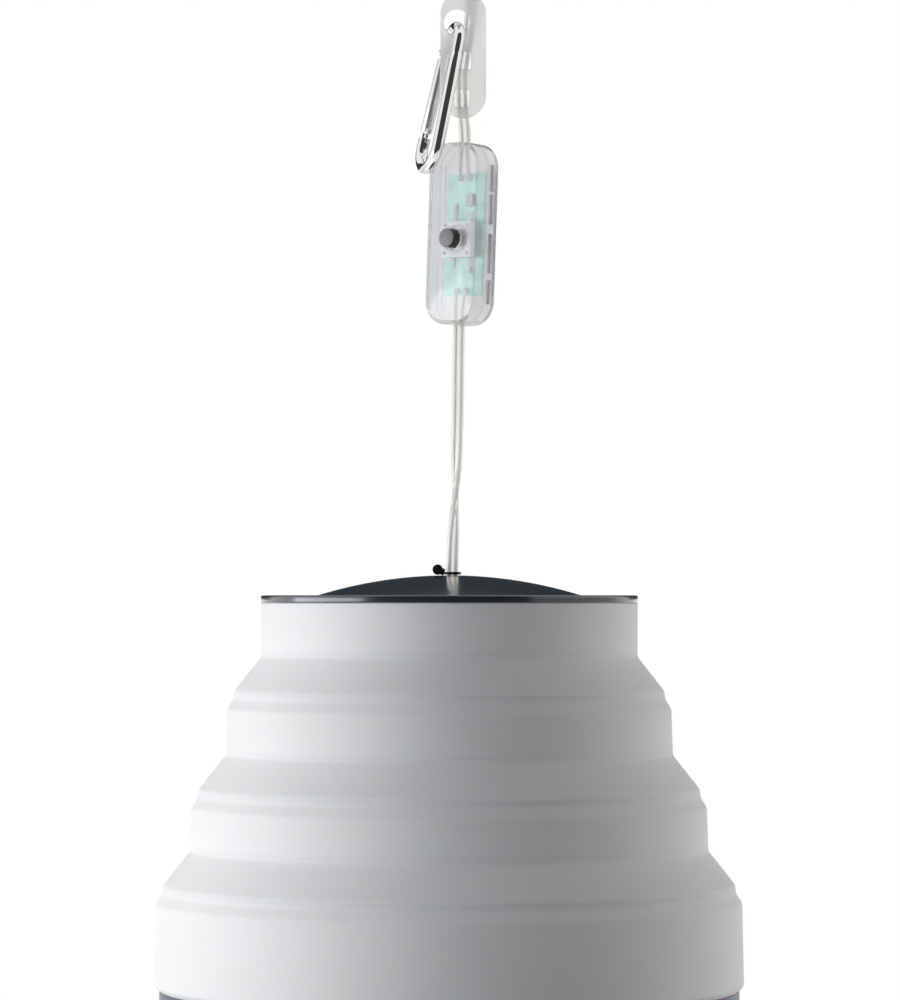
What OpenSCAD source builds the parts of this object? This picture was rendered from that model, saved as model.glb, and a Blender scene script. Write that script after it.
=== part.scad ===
// Collapsible hanging lantern: a folding silicone shade under a domed cap, on a clear flat twin
// lead with an in-line switch, a hanger tab, a snap hook and a tied hank of spare lead.
// Millimetres, +Z up. The origin is the hang point, under the top loops of the hank.

/* [Shade] */
// Outer radius of the shade at its top
shade_top_r = 62.7; // [58:0.1:75]
// Height of the top band
top_band_h = 18; // [14:0.1:26]
// Height of the second band
band_2_h = 15.3; // [10:0.1:22]
// Height of the third band
band_3_h = 14.4; // [10:0.1:22]
// Height of the skirt
skirt_h = 27; // [22:0.1:36]
// Height of each folding cone
cone_h = 11.2; // [8:0.1:13]
// How much each cone widens the shade, on the radius
cone_run = 8.8; // [7.5:0.1:11]
// Height of the upright step below each cone
step_h = 2.9; // [2:0.1:4]
// Height of the sloping shoulder below each step
shoulder_h = 3.2; // [2:0.1:5]
// How much each shoulder widens the shade, on the radius
shoulder_run = 2; // [1.5:0.1:3.5]
// How much each band flares towards its foot, on the radius
band_flare = 0.5; // [0.2:0.1:1.5]
// Wall of the bands
band_wall = 2.2; // [1.6:0.1:3]
// Wall of the folding cones, measured level
cone_wall = 1.8; // [1.2:0.1:2.4]
// Thickness of the flange that is clamped under the cap
flange_t = 2.2; // [1.5:0.1:3]

/* [Cap and light] */
// Thickness of the cap's lip
lip_t = 2.5; // [1.5:0.1:3.5]
// Height of the dome above the lip
dome_rise = 6.7; // [5:0.1:12]
// Radius of the dome where it leaves the lip
dome_base_r = 44; // [42:0.5:50]
// Wall of the cap
cap_wall = 2; // [1.5:0.1:3]
// Radius of the hole for the lead
cap_hole_r = 3.5; // [3.4:0.1:5]
// Thickness of the inner plate
plate_t = 2.2; // [1.5:0.1:3]
// Radius of the screws' threads
screw_r = 1.25; // [1:0.05:1.5]
// Gap between the screws' heads and the diffuser
screw_gap = 1.9; // [1:0.1:3]
// Thickness of the LED board
led_board_t = 1.6; // [1:0.1:2]
// Gap between the LED board and the diffuser's wall
led_board_gap = 2; // [1:0.1:4]
// Radius of the diffuser
diffuser_r = 36; // [32:0.5:40]
// Wall of the diffuser
diffuser_wall = 1.5; // [1:0.1:2]
// Height of the diffuser
diffuser_h = 10; // [8:0.5:14]

/* [Base ring] */
// Height of the ring's foot below the skirt
foot_h = 5.4; // [4:0.1:8]
// Width of the ring's foot
foot_w = 3.8; // [3.4:0.1:6]
// Height of the ring's upright inside the skirt
upright_h = 12; // [8:0.5:18]
// Wall of the upright
upright_t = 2; // [1.5:0.1:2.5]

/* [In-line switch] */
// Width of the switch box
box_w = 21; // [19:0.5:26]
// Depth of the switch box
box_d = 11.8; // [11:0.1:14]
// Height of the switch box
box_h = 60.7; // [56:0.5:70]
// Radius of the box's corners
box_corner_r = 8; // [6:0.5:9]
// Wall of the box
box_wall = 1.4; // [1.2:0.1:1.6]
// Radius of the button
button_r = 3.15; // [2.5:0.05:3.3]
// How far the button stands out of the box
button_out = 2.65; // [2:0.05:4]
// How far the button travels
button_travel = 0.8; // [0.3:0.1:1]
// Turn of the box about the lead
box_turn = 38.5; // [0:0.5:60]
// Lean of the box to the right
box_lean = 1.9; // [0:0.1:5]

/* [Hanger tab and snap hook] */
// Width of the tab
tab_w = 15.3; // [14:0.1:20]
// Length of the tab
tab_h = 42.5; // [40:0.5:50]
// Thickness of the tab
tab_t = 2; // [1.5:0.1:2.2]
// Radius of the tab's round hole
tab_hole_r = 4.4; // [4.2:0.1:5]
// Diameter of the hook's wire
wire_d = 4; // [3.4:0.1:4.2]
// Length of the hook outside
hook_h = 52.3; // [50:0.1:56]
// Radius of the hook's small end, to the middle of the wire
hook_top_r = 5.2; // [4.6:0.1:5.5]
// Radius of the hook's large end, to the middle of the wire
hook_foot_r = 7.5; // [6.5:0.1:8.5]
// Gap between the hook's foot and the edge of the switch box that it leans on
hook_gap = 0.8; // [0.4:0.1:4]
// Turn of the hook about the upright
hook_turn = 21; // [10:1:30]

/* [Lead] */
// Width of the flat twin lead
lead_w = 4; // [3.6:0.1:4.2]
// Thickness of the lead
lead_t = 2; // [1.8:0.1:2.2]
// Free lead between the cap and the switch box
lead_drop = 83.5; // [60:0.1:120]
// Gap between the switch box and the tab
tab_gap = 8.5; // [6:0.1:20]
// Gap between the tab and the hank
hank_gap = 7.7; // [5:0.1:20]
// Height of the hank between the centres of its end loops
hank_run = 52; // [40:1:60]
// Radius of the hank's innermost loops, to the middle of the lead
hank_loop_r = 12; // [12:0.5:14]
// Depth of the hank
hank_d = 9.6; // [8:0.1:12]
// Height of the tie round the hank
tie_h = 8; // [6:0.5:12]

/* [Hidden] */

SILICONE = [0.86, 0.86, 0.85];
GLOSS_BLACK = [0.11, 0.13, 0.16];
SLATE = [0.30, 0.37, 0.44];
CLEAR = [0.85, 0.88, 0.90, 0.5];
MILKY = [0.88, 0.88, 0.87];
STEEL = [0.75, 0.76, 0.78];
TEAL = [0.45, 0.72, 0.68];
WHITE = [0.95, 0.95, 0.93];
BLACK = [0.05, 0.05, 0.05];

fit = 0.15;        // clearance between parts that are assembled once
slide_fit = 0.05;  // running clearance of the gate pin and the button
fold_gap = 0.3;    // between a folding cone and the band that moves with it
round_fn = 128;    // facets of the preview only: turned parts keep true curves
small_fn = 32;

// ---- points and outlines ----

function unit(v) = v / norm(v);
function turned(v, a) = [v.x * cos(a) - v.y * sin(a), v.x * sin(a) + v.y * cos(a)];
function xy(v) = [v.x, v.y];

// The corner b of an outline a-b-c as an arc of radius r
function corner_arc(a, b, c, r, n) =
    let (
        u = unit(a - b),
        w = unit(c - b),
        half = acos(u * w) / 2,
        mid = b + unit(u + w) * r / sin(half),
        spoke = b + u * r / tan(half) - mid,
        side = cross(u, w) > 0 ? -1 : 1
    )
    [for (i = [0 : n]) mid + turned(spoke, side * (180 - 2 * half) * i / n)];

// An outline from corners [x, y, radius], where a radius of 0 leaves the corner sharp
function rounded(corners, n = 4) =
    let (k = len(corners))
    [for (i = [0 : k - 1])
        let (b = corners[i])
        each b.z > 0
            ? corner_arc(xy(corners[(i + k - 1) % k]), xy(b), xy(corners[(i + 1) % k]), b.z, n)
            : [xy(b)]];

module rounded_rect(w, h, r) {
    square([w - 2 * r, h], center = true);
    square([w, h - 2 * r], center = true);
    for (x = [-1, 1], y = [-1, 1])
        translate([x * (w / 2 - r), y * (h / 2 - r)]) circle(r, $fn = small_fn);
}

module oblong(w, h) {
    rounded_rect(w, h, min(w, h) / 2 - 0.001);
}

// A solid round wire or flat lead along a route of points, w across and t thick.
// "across" is the direction that the width keeps to, and girth(i) scales ring i.
module swept(route, w, t, sides = 8, across = [1, 0, 0], girth = function(i) 1) {
    last = len(route) - 1;
    heading = [for (i = [0 : last]) unit(route[min(i + 1, last)] - route[max(i - 1, 0)])];
    points = [for (i = [0 : last])
        let (side = unit(across - heading[i] * (across * heading[i])), up = cross(heading[i], side))
        for (j = [0 : sides - 1])
            let (a = 360 * (j + 0.5) / sides, k = girth(i) / cos(180 / sides))
            route[i] + side * cos(a) * k * w / 2 + up * sin(a) * k * t / 2];
    skin = [for (i = [0 : last - 1], j = [0 : sides - 1])
        let (a = i * sides, b = a + sides, n = (j + 1) % sides)
        each [[a + j, b + j, b + n], [a + j, b + n, a + n]]];
    start = [for (j = [0 : sides - 1]) j];
    stop = [for (j = [sides - 1 : -1 : 0]) last * sides + j];
    polyhedron(points, concat(skin, [start, stop]));
}

// ---- heights above the seam between cap and shade ----

cap_top_z = lip_t + dome_rise;
box_z = cap_top_z + lead_drop + box_h / 2;
tab_foot_z = box_z + box_h / 2 + tab_gap;
tab_z = tab_foot_z + tab_h / 2;
hank_outer_r = hank_loop_r + lead_w + lead_w / 2;
hank_z = tab_foot_z + tab_h + hank_gap + hank_outer_r + hank_run / 2;
hang_z = hank_z + hank_run / 2 + hank_loop_r - lead_w / 2;

// Everything is drawn from the seam and lowered, so that the hang point is the origin
module hung() {
    translate([0, 0, -hang_z]) children();
}

// ---- shade ----

step_run = 0.4;
ring_h = step_h + shoulder_h;
band_heights = [top_band_h, band_2_h, band_3_h, skirt_h];

// Height and radius at which folding cone i starts, from the top
function cone_z(i) = i == 1 ? -top_band_h : cone_z(i - 1) - cone_h - ring_h - band_heights[i - 1];
function cone_r(i) = i == 1 ? shade_top_r
    : cone_r(i - 1) + cone_run + step_run + shoulder_run + band_flare;

// The clamped flange reaches in to the inner plate's rim, which goes round the screws' bosses
screw_head_r = 2.1 * screw_r;
screw_circle_r = diffuser_r + screw_gap + screw_head_r;
boss_r = 3;
boss_gap = 0.9;
rim_w = 2.3;
rim_gap = 0.8;
rim_inner_r = screw_circle_r + boss_r + boss_gap;
flange_inner_r = rim_inner_r + rim_w + rim_gap;
skirt_foot_z = cone_z(4);
skirt_foot_r = cone_r(4);
hem_h = 1.5;
crease_r = 0.9;  // rounding of the creases
edge_r = 0.5;    // rounding of free edges

module shade_top() color(SILICONE) hung() rotate_extrude($fn = round_fn)
    polygon(rounded([
        [flange_inner_r, 0, 0],
        [shade_top_r, 0, edge_r],
        [shade_top_r, -top_band_h, 0],
        [shade_top_r - band_wall, -top_band_h, 0],
        [shade_top_r - band_wall, -flange_t, edge_r],
        [flange_inner_r, -flange_t, 0]
    ]));

module fold(i) {
    foot_z = cone_z(i) - cone_h + fold_gap;
    foot_r = cone_r(i) + cone_run * (cone_h - fold_gap) / cone_h;
    color(SILICONE) hung() rotate_extrude($fn = round_fn)
        polygon([
            [cone_r(i), cone_z(i)],
            [foot_r, foot_z],
            [foot_r - cone_wall, foot_z],
            [cone_r(i) - cone_wall, cone_z(i)]
        ]);
}

// The band below cone i: an upright step, a sloping shoulder and the band itself
module band(i, hem = 0) {
    r0 = cone_r(i) + cone_run;
    z0 = cone_z(i) - cone_h;
    r1 = r0 + step_run;
    r2 = r1 + shoulder_run;
    r3 = r2 + band_flare;
    z1 = z0 - step_h;
    z2 = z1 - shoulder_h;
    z3 = z2 - band_heights[i];
    foot = hem > 0 ? [[r3, z3, crease_r], [r3 - hem, z3 - hem, 0]] : [[r3, z3, 0]];
    color(SILICONE) hung() rotate_extrude($fn = round_fn)
        polygon(rounded(concat(
            [[r0, z0, 0], [r1, z1, crease_r], [r2, z2, crease_r]],
            foot,
            [
                [r3 - band_wall, z3 - hem, 0],
                [r2 - band_wall, z2, crease_r],
                [r1 - band_wall, z1, crease_r],
                [r0 - band_wall, z0, 0]
            ]
        )));
}

module fold_1() fold(1);
module band_2() band(1);
module fold_2() fold(2);
module band_3() band(2);
module fold_3() fold(3);
module skirt() band(3, hem_h);

// ---- base ring ----

foot_top_z = skirt_foot_z - hem_h;
foot_r = skirt_foot_r - hem_h;
upright_r = skirt_foot_r - band_wall - band_flare * (upright_h + hem_h) / skirt_h - slide_fit;

module base_ring() color(SLATE) hung() rotate_extrude($fn = round_fn)
    polygon(rounded([
        [foot_r, foot_top_z, edge_r],
        [foot_r, foot_top_z - foot_h, 1],
        [foot_r - foot_w, foot_top_z - foot_h, 1],
        [foot_r - foot_w, foot_top_z, 0.6],
        [upright_r - upright_t, foot_top_z + 0.8, 0.4],
        [upright_r - upright_t, foot_top_z + upright_h, 0.6],
        [upright_r, foot_top_z + upright_h, 0.6],
        [upright_r, foot_top_z, 0]
    ]));

// ---- cap and light ----

dome_r = (dome_base_r * dome_base_r + dome_rise * dome_rise) / (2 * dome_rise);
dome_centre_z = cap_top_z - dome_r;
dome_inner_base_r = sqrt(pow(dome_r - cap_wall, 2) - pow(dome_centre_z, 2));
plate_top_z = -flange_t;
plate_foot_z = plate_top_z - plate_t;
// The bosses stand up to the dome's underside
boss_top_z = dome_z(dome_r - cap_wall, screw_circle_r - boss_r);
screw_reach = 2.8;  // into the bosses
screw_room = 0.4;   // beyond their tips

function dome_z(r, x) = dome_centre_z + sqrt(r * r - x * x);
function dome_arc(r, base_r, n = 14) =
    let (a = asin(base_r / r))
    [for (i = [0 : n]) let (x = r * sin(a * i / n)) [x, dome_z(r, x)]];
function backwards(list) = [for (i = [len(list) - 1 : -1 : 0]) list[i]];

module at_screws() {
    for (a = [90, 210, 330]) rotate(a) translate([screw_circle_r, 0, 0]) children();
}

module top_cap() color(GLOSS_BLACK) hung() difference() {
    union() {
        rotate_extrude($fn = round_fn) polygon(concat(
            dome_arc(dome_r, dome_base_r),
            rounded([
                [dome_base_r, lip_t, 0],
                [shade_top_r + 0.1, lip_t, 0.8],
                [shade_top_r + 0.1, 0, 0.2],
                [dome_inner_base_r, 0, 0]
            ]),
            backwards(dome_arc(dome_r - cap_wall, dome_inner_base_r))
        ));
        at_screws() translate([0, 0, plate_top_z])
            cylinder(h = boss_top_z - plate_top_z, r = boss_r, $fn = small_fn);
    }
    translate([0, 0, cap_top_z - cap_wall - 2])
        cylinder(h = cap_wall + 4, r = cap_hole_r, $fn = small_fn);
    at_screws() translate([0, 0, plate_top_z - 1])
        cylinder(h = 1 + screw_reach + screw_room, r = screw_r, $fn = small_fn);
}

plate_hole_r = cap_hole_r;
plate_r = shade_top_r - band_wall - 0.6;
rim_drop = 0.3;  // of the rim below the cap

module inner_plate() color(WHITE) hung() difference() {
    rotate_extrude($fn = round_fn) polygon(rounded([
        [0, plate_top_z, 0],
        [rim_inner_r, plate_top_z, 0],
        [rim_inner_r, -rim_drop, 0.3],
        [rim_inner_r + rim_w, -rim_drop, 0.3],
        [rim_inner_r + rim_w, plate_top_z, 0],
        [plate_r, plate_top_z, 0.4],
        [plate_r, plate_foot_z, 1],
        [0, plate_foot_z, 0]
    ]));
    translate([0, 0, plate_foot_z - 1])
        cylinder(h = plate_t + 2, r = plate_hole_r, $fn = small_fn);
    at_screws() translate([0, 0, plate_foot_z - 1])
        cylinder(h = plate_t + 2, r = screw_r + fit, $fn = small_fn);
}

screw_head_h = 1.6;

module plate_screws() color(STEEL) hung() at_screws() {
    translate([0, 0, plate_foot_z - screw_head_h]) rotate_extrude($fn = small_fn)
        polygon(rounded([
            [0, 0, 0], [screw_head_r, 0, 0.6], [screw_head_r, screw_head_h, 0], [0, screw_head_h, 0]
        ]));
    translate([0, 0, plate_foot_z])
        cylinder(h = plate_t + screw_reach, r = screw_r, $fn = small_fn);
}

led_board_r = diffuser_r - diffuser_wall - led_board_gap;

module led_board() color(WHITE) hung() translate([0, 0, plate_foot_z - led_board_t])
    cylinder(h = led_board_t, r = led_board_r, $fn = round_fn);

led_w = 3;
led_h = 1;
led_rings = [[6, 0.36], [12, 0.76]];  // how many, and their circle's share of the board's radius

module leds() color([0.98, 0.92, 0.55]) hung()
    for (ring = led_rings, i = [0 : ring[0] - 1])
        rotate(360 * i / ring[0])
            translate([ring[1] * led_board_r, 0, plate_foot_z - led_board_t - led_h / 2])
                cube([led_w, led_w, led_h], center = true);

diffuser_crown_r = 12;  // rounding where the diffuser's face turns towards its side

module diffuser() color([0.97, 0.97, 0.95, 0.8]) hung() translate([0, 0, plate_foot_z])
    rotate_extrude($fn = round_fn) polygon(rounded([
        [diffuser_r, 0, 0],
        [diffuser_r, -diffuser_h * 0.45, 3],
        [diffuser_r * 0.72, -diffuser_h * 0.92, diffuser_crown_r],
        [0, -diffuser_h, 0],
        [0, diffuser_wall - diffuser_h, 0],
        [diffuser_r * 0.72, diffuser_wall - diffuser_h * 0.92, diffuser_crown_r],
        [diffuser_r - diffuser_wall, diffuser_wall - diffuser_h * 0.45, 2],
        [diffuser_r - diffuser_wall, 0, 0]
    ], 6));

// ---- cable tie, on the lead where it leaves the cap ----

exit_x = 1;
tie_z = cap_top_z + 0.7;
tie_strap = 0.9;

module cable_tie() color(BLACK) hung() translate([exit_x, 0, tie_z]) {
    linear_extrude(tie_strap, center = true) difference() {
        oblong(lead_w + 2 * tie_strap + 0.1, lead_t + 2 * tie_strap + 0.1);
        oblong(lead_w + 0.1, lead_t + 0.1);
    }
    translate([-lead_w / 2 - 1.8, 0, 0.9]) rotate([0, 38, 0])
        cube([3.4, 1.6, 1.1], center = true);
    translate([-lead_w / 2 - 3.1, 0, 1.9]) rotate([90, 0, 0])
        cylinder(h = 2.6, r = 1.5, center = true, $fn = small_fn);
}

// ---- in-line switch: its own axes have the front at -Y ----

box_x = 4.2;
box_front_y = -box_d / 2;
button_z = -1.8;
board_y = 1.2;
board_t = 1.2;
board_gap = 1.4;      // beside the board, inside the box
board_end_gap = 8.45; // above and below the board, inside the box
board_w = box_w - 2 * (box_wall + board_gap);
board_h = box_h - 2 * (box_wall + board_end_gap);
peg_at = [board_w / 2 - 2.7, board_h / 2 - 5.5];
joint_at = [2.4, board_h / 2 - 3.3];  // solder joints of the lead's cores
tact_w = 12;
tact_d = 4;
tact_front_y = board_y - tact_d;
button_gap = 0.8;     // round the button, through the front shell
bevel = 1;

module in_box() {
    hung() translate([box_x, 0, box_z]) rotate([0, box_lean, 0]) rotate([0, 0, -box_turn])
        children();
}

// A plate standing in the box's XZ plane, from depth y0 to y1
module slab(y0, y1) {
    translate([0, y1, 0]) rotate([90, 0, 0]) linear_extrude(y1 - y0) children();
}

module box_outline(inset = 0) {
    rounded_rect(box_w - 2 * inset, box_h - 2 * inset, box_corner_r - inset);
}

// Half of the box, from its parting face to a chamfered face
module half_shell(front) {
    parting_y = 0;
    face_y = front ? box_front_y : -box_front_y;
    edge = front ? 1 : -1;
    difference() {
        hull() {
            slab(min(parting_y, face_y + edge * bevel), max(parting_y, face_y + edge * bevel))
                box_outline();
            slab(min(face_y, face_y + edge * 0.1), max(face_y, face_y + edge * 0.1))
                box_outline(bevel);
        }
        slab(min(parting_y + edge * 0.01, face_y + edge * box_wall),
             max(parting_y + edge * 0.01, face_y + edge * box_wall)) box_outline(box_wall);
        // the way in for the lead, at the top and the foot, square to the lead
        for (z = [-1, 1]) translate([0, 0, z * box_h / 2]) rotate(box_turn)
            cube([lead_w + 2 * fit, lead_t + 2 * fit, 3 * box_wall], center = true);
    }
}

module switch_front() color(CLEAR) in_box() difference() {
    half_shell(true);
    translate([0, box_front_y - 1, button_z]) rotate([-90, 0, 0])
        cylinder(h = box_wall + 2, r = button_r + button_gap, $fn = small_fn);
}

// Sunk slots down each side of the back shell: [middle, length] of each
side_slots = [[18.6, 9], [8.2, 10], [-6.5, 13], [-19.4, 8]];
slot_w = 1.9;
slot_deep = 0.7;

module switch_back() color(CLEAR) in_box() difference() {
    half_shell(false);
    for (slot = side_slots, x = [-1, 1])
        translate([x * box_w / 2, 0.45 * box_d / 2, slot[0]])
            cube([2 * slot_deep, slot_w, slot[1]], center = true);
}

module switch_board() color(TEAL) in_box() {
    slab(board_y, board_y + board_t) rounded_rect(board_w, board_h, 1);
    // pegs of the board's carrier, down to the back shell
    for (x = [-1, 1], z = [-1, 1])
        translate([x * peg_at.x, board_y + board_t, z * peg_at.y]) rotate([-90, 0, 0])
            cylinder(h = box_d / 2 - box_wall - board_y - board_t, r = 1, $fn = small_fn);
}

module board_parts() color(STEEL) in_box() {
    translate([2.6, board_y - 0.5, 11.5]) cube([2.6, 1, 3.6], center = true);
    translate([-3.4, board_y - 0.35, 9]) cube([1.2, 0.7, 2], center = true);
    translate([3.6, board_y - 0.35, -12]) cube([1.2, 0.7, 2], center = true);
    for (x = [-1, 1], z = [-1, 1])
        translate([x * joint_at.x, board_y - 0.45, z * joint_at.y]) rotate([-90, 0, 0])
            cylinder(h = 0.45, r = 1.3, $fn = small_fn);
}

button_seat = 1;      // of the button in the switch's body
module tact_switch() color([0.90, 0.90, 0.89]) in_box() difference() {
    translate([0, board_y - tact_d / 2, button_z]) cube([tact_w, tact_d, tact_w], center = true);
    translate([0, tact_front_y - 1, button_z]) rotate([-90, 0, 0])
        cylinder(h = 1 + button_seat + button_travel + 0.2, r = button_r + slide_fit, $fn = small_fn);
}

button_l = button_out + tact_front_y - box_front_y + button_seat;
module push_button() color(BLACK) in_box()
    translate([0, box_front_y - button_out, button_z]) rotate([-90, 0, 0])
        rotate_extrude($fn = small_fn) polygon(rounded([
            [0, 0, 0],
            [button_r, 0, 0.35],
            [button_r, button_l, 0],
            [0, button_l, 0]
        ], 3));

// ---- hanger tab ----

tab_x = 4.6;
hole_x = 2.5;
hole_drop = 2.7;  // of the hole below the middle of the tab's round end
hole_z = tab_foot_z + tab_h - tab_w / 2 - hole_drop;
slot_h = 6;
slot_pitch = 12.5;
slot_foot_z = tab_foot_z + 6.7;

module hanger_tab() color(MILKY) hung()
    translate([0, tab_t / 2, 0]) rotate([90, 0, 0]) linear_extrude(tab_t) difference() {
        translate([tab_x, tab_z]) oblong(tab_w, tab_h);
        translate([hole_x, hole_z]) circle(tab_hole_r, $fn = round_fn);
        for (i = [0, 1]) translate([tab_x - 0.2 + i * 0.9, slot_foot_z + i * slot_pitch])
            rounded_rect(lead_w + 1.4, slot_h, 0.8);
    }

// ---- snap hook: its own axes have the spine at -Y and the top of its small loop at the origin ----

wire_r = wire_d / 2;
neck_girth = 0.88;  // of the slimmer wire round the small end
hook_x = 2.3;
hook_play = 1;  // between the wire and the rim of the tab's hole
hook_z = hole_z
    - sqrt(pow(tab_hole_r - neck_girth * wire_r - hook_play, 2) - pow(hole_x - hook_x, 2));
hook_line_h = hook_h - wire_d;  // along the middle of the wire
// The hook leans out past the box's front left edge, which it would rest on
box_edge = turned([-box_w / 2, bevel - box_d / 2], -box_turn)
    + [box_x + tan(box_lean) * (box_h / 2 - box_corner_r), 0];
hook_lean = asin(
    (wire_r + hook_gap - (box_edge - [hook_x, 0]) * [cos(hook_turn), sin(hook_turn)]) / hook_line_h
);
foot_centre = [hook_foot_r - hook_top_r, hook_foot_r - hook_line_h];
top_centre = [0, -hook_top_r];
gate_line_h = hook_line_h - hook_top_r - hook_foot_r;
gate_slant = 2 * atan((hook_foot_r - hook_top_r) / gate_line_h);
gate_top = top_centre + hook_top_r * [cos(gate_slant), sin(gate_slant)];
// places along the gate's line, from its top
pin_at = 3.4;
fork_to = 5;
gate_from = 6;
bore_to = 15.5;
gate_to = 31.5;
nose_from = 33.2;
pin_r = 0.8;
tongue_t = 1.5;
tongue_r = 1.7;
tongue_fit = 0.1;

module in_hook() {
    hung() translate([hook_x, 0, hook_z]) rotate([0, hook_lean, hook_turn]) children();
}

// Runs down the gate's line: x out of the hook's plane, y outwards, z up from its top
module on_gate_line() {
    translate([0, gate_top.x, gate_top.y]) rotate([gate_slant, 0, 0]) children();
}

function hook_arc(centre, r, from, to, n) =
    [for (i = [0 : n])
        let (a = from + (to - from) * i / n)
        [0, centre.x + r * cos(a), centre.y + r * sin(a)]];

// From the gate's pivot over the small end and down the spine, where the wire gets its full
// girth at a shoulder, then round the large end to the nose
neck_h = 4.6;  // of the slimmer wire below the small end's bend
neck_points = 15;
neck_foot = [0, top_centre.x - hook_top_r, top_centre.y - neck_h];
hook_route = concat(
    hook_arc(top_centre, hook_top_r, gate_slant, 180, neck_points - 1),
    [neck_foot, neck_foot - [0, 0, 0.3]],
    hook_arc(foot_centre, hook_foot_r, 180, 360 + gate_slant, 18)
);

// A block centred on the gate's line, from place a down to place b
module on_line(a, b, x, y) {
    translate([0, 0, -(a + b) / 2]) cube([x, y, b - a], center = true);
}

module across_pin(l, r) {
    translate([0, 0, -pin_at]) rotate([0, 90, 0])
        cylinder(h = l, r = r, center = true, $fn = small_fn);
}

module hook_body() color(STEEL) in_hook() difference() {
    union() {
        swept(hook_route, wire_d, wire_d, 16, girth = function(i) i > neck_points ? 1 : neck_girth);
        on_gate_line() {
            // fork for the gate's pivot
            translate([0, 0, -fork_to]) cylinder(h = fork_to, r = wire_r, $fn = small_fn);
            // nose, with the flat tongue that the gate's slit closes over
            translate([0, 0, -gate_line_h])
                cylinder(h = gate_line_h - nose_from, r = wire_r, $fn = small_fn);
            on_line(gate_to + 0.3, nose_from + 0.1, 1.2, 0.8 * wire_d);
        }
    }
    on_gate_line() {
        on_line(pin_at - tongue_r - 0.3, gate_from + 3, tongue_t + 2 * tongue_fit, wire_d + 2);
        across_pin(wire_d + 2, pin_r);
    }
}

module hook_gate() color(STEEL) in_hook() on_gate_line() difference() {
    union() {
        translate([0, 0, -gate_to]) cylinder(h = gate_to - gate_from, r = wire_r, $fn = small_fn);
        across_pin(tongue_t, tongue_r);
        on_line(pin_at, gate_from + 1, tongue_t, 2 * tongue_r);
    }
    across_pin(wire_d, pin_r + slide_fit);
    on_line(gate_to - 1.7, gate_to + 1, 1.6, wire_d + 2);
    translate([0, 0, -bore_to]) cylinder(h = bore_to - gate_from - 2, r = bore_r, $fn = small_fn);
}

module gate_pin() color(STEEL) in_hook() on_gate_line() across_pin(wire_d, pin_r);

bore_r = 1.2;
spring_turns = 6;
spring_wire = 0.4;
spring_r = bore_r - spring_wire / 2 - 0.02;
spring_h = 6.4;
spring_steps = 60;

module gate_spring() color(STEEL) in_hook() on_gate_line()
    translate([0, 0, spring_wire / 2 - bore_to]) swept(
        [for (i = [0 : spring_steps])
            let (a = 360 * spring_turns * i / spring_steps)
            [spring_r * cos(a), spring_r * sin(a), spring_h * i / spring_steps]],
        spring_wire, spring_wire, 6, [0, 0, 1]);

// ---- lead: routes above the seam, chosen by hand ----

lower_route = [
    [0.9, 0, -4.4], [0.9, 0, 0], [0.9, 0, 5], [1, 0, 10], [1.2, 0, 18], [1.6, 0, 27], [2, 0, 36],
    [2.4, 0, 45], [2.6, 0, 54], [2.8, 0, 63], [2.9, 0, 72], [3, 0, 81], [3.1, 0, 87],
    [3.2, 0, 92.6], [3.3, 0, 95.5]
];
upper_route = [
    [5.1, 0, 150.5], [5.2, 0, 153.4], [5.2, 0.5, 156.4], [5, 1.4, 159.4], [4.7, 2, 162.2],
    [4.4, 1.45, 165.4], [4.3, 0.55, 167.5], [4.2, -0.5, 169.5], [4.1, -1.45, 171.6],
    [4, -2.05, 174.7], [4.3, -1.45, 177.9], [4.6, -0.5, 180], [4.9, 0.5, 182],
    [5.3, 1.45, 184.1], [5.9, 2.05, 187.3], [6.6, 2.2, 192], [7.1, 2.4, 197], [7.3, 3, 202],
    [7.4, 4, 207], [7.4, 5, 212], [7.4, 5.6, 218]
];

module lower_cord() color(CLEAR) hung() swept(lower_route, lead_w, lead_t);
module upper_cord() color(CLEAR) hung() swept(upper_route, lead_w, lead_t);

// ---- hank, its tie and the plug ----

hank_y = 1.2;
hank_pinch = 9;  // how far the tie draws each side in

// Half the width of the hank at height z above its middle, for an outline r at the loops
function hank_half(r, z) = r - hank_pinch * (1 + cos(180 * z / (hank_run / 2))) / 2;
function hank_side(r, n = 16) =
    [for (i = [0 : n])
        let (z = -hank_run / 2 + hank_run * i / n)
        [hank_half(r, z), z]];
function hank_loop(r, n = 20) =
    [for (i = [1 : n - 1]) [r * cos(180 * i / n), hank_run / 2 + r * sin(180 * i / n)]];
function hank_outline(r) =
    let (half = concat(hank_side(r), hank_loop(r)))
    concat(half, [for (p = half) [-p.x, -p.y]]);

module cord_hank() color(CLEAR) hung() translate([0, hank_y + hank_d / 2, hank_z])
    rotate([90, 0, 0]) linear_extrude(hank_d) difference() {
        polygon(hank_outline(hank_outer_r));
        polygon(hank_outline(hank_loop_r - lead_w / 2));
    }

tie_wall = 1.2;
hank_waist = hank_half(hank_outer_r, tie_h / 2) + 0.15;
hank_front_y = hank_y - hank_d / 2;
plug_x = -3;
plug_w = 15;
plug_d = 7.6;
plug_h = 19;
plug_y = hank_front_y - plug_d / 2 - fit;
relief_h = 3;
plug_drop = 9.6;  // of the lead between the tie and the plug
plug_top_z = hank_z - tie_h / 2 - plug_drop;
usb_w = 12;
usb_d = 4.5;
usb_h = 12;

// The lead's last stretch, from under the tie down to the plug
lead_y = hank_front_y - lead_t / 2;
plug_route = [
    [plug_x, lead_y, hank_z + 5], [plug_x, lead_y, hank_z], [plug_x, lead_y - 0.2, hank_z - 4],
    [plug_x, (lead_y + plug_y) / 2, hank_z - 7.2], [plug_x, plug_y + 0.15, hank_z - 9.7],
    [plug_x, plug_y, hank_z - 11.5], [plug_x, plug_y, plug_top_z]
];

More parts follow.
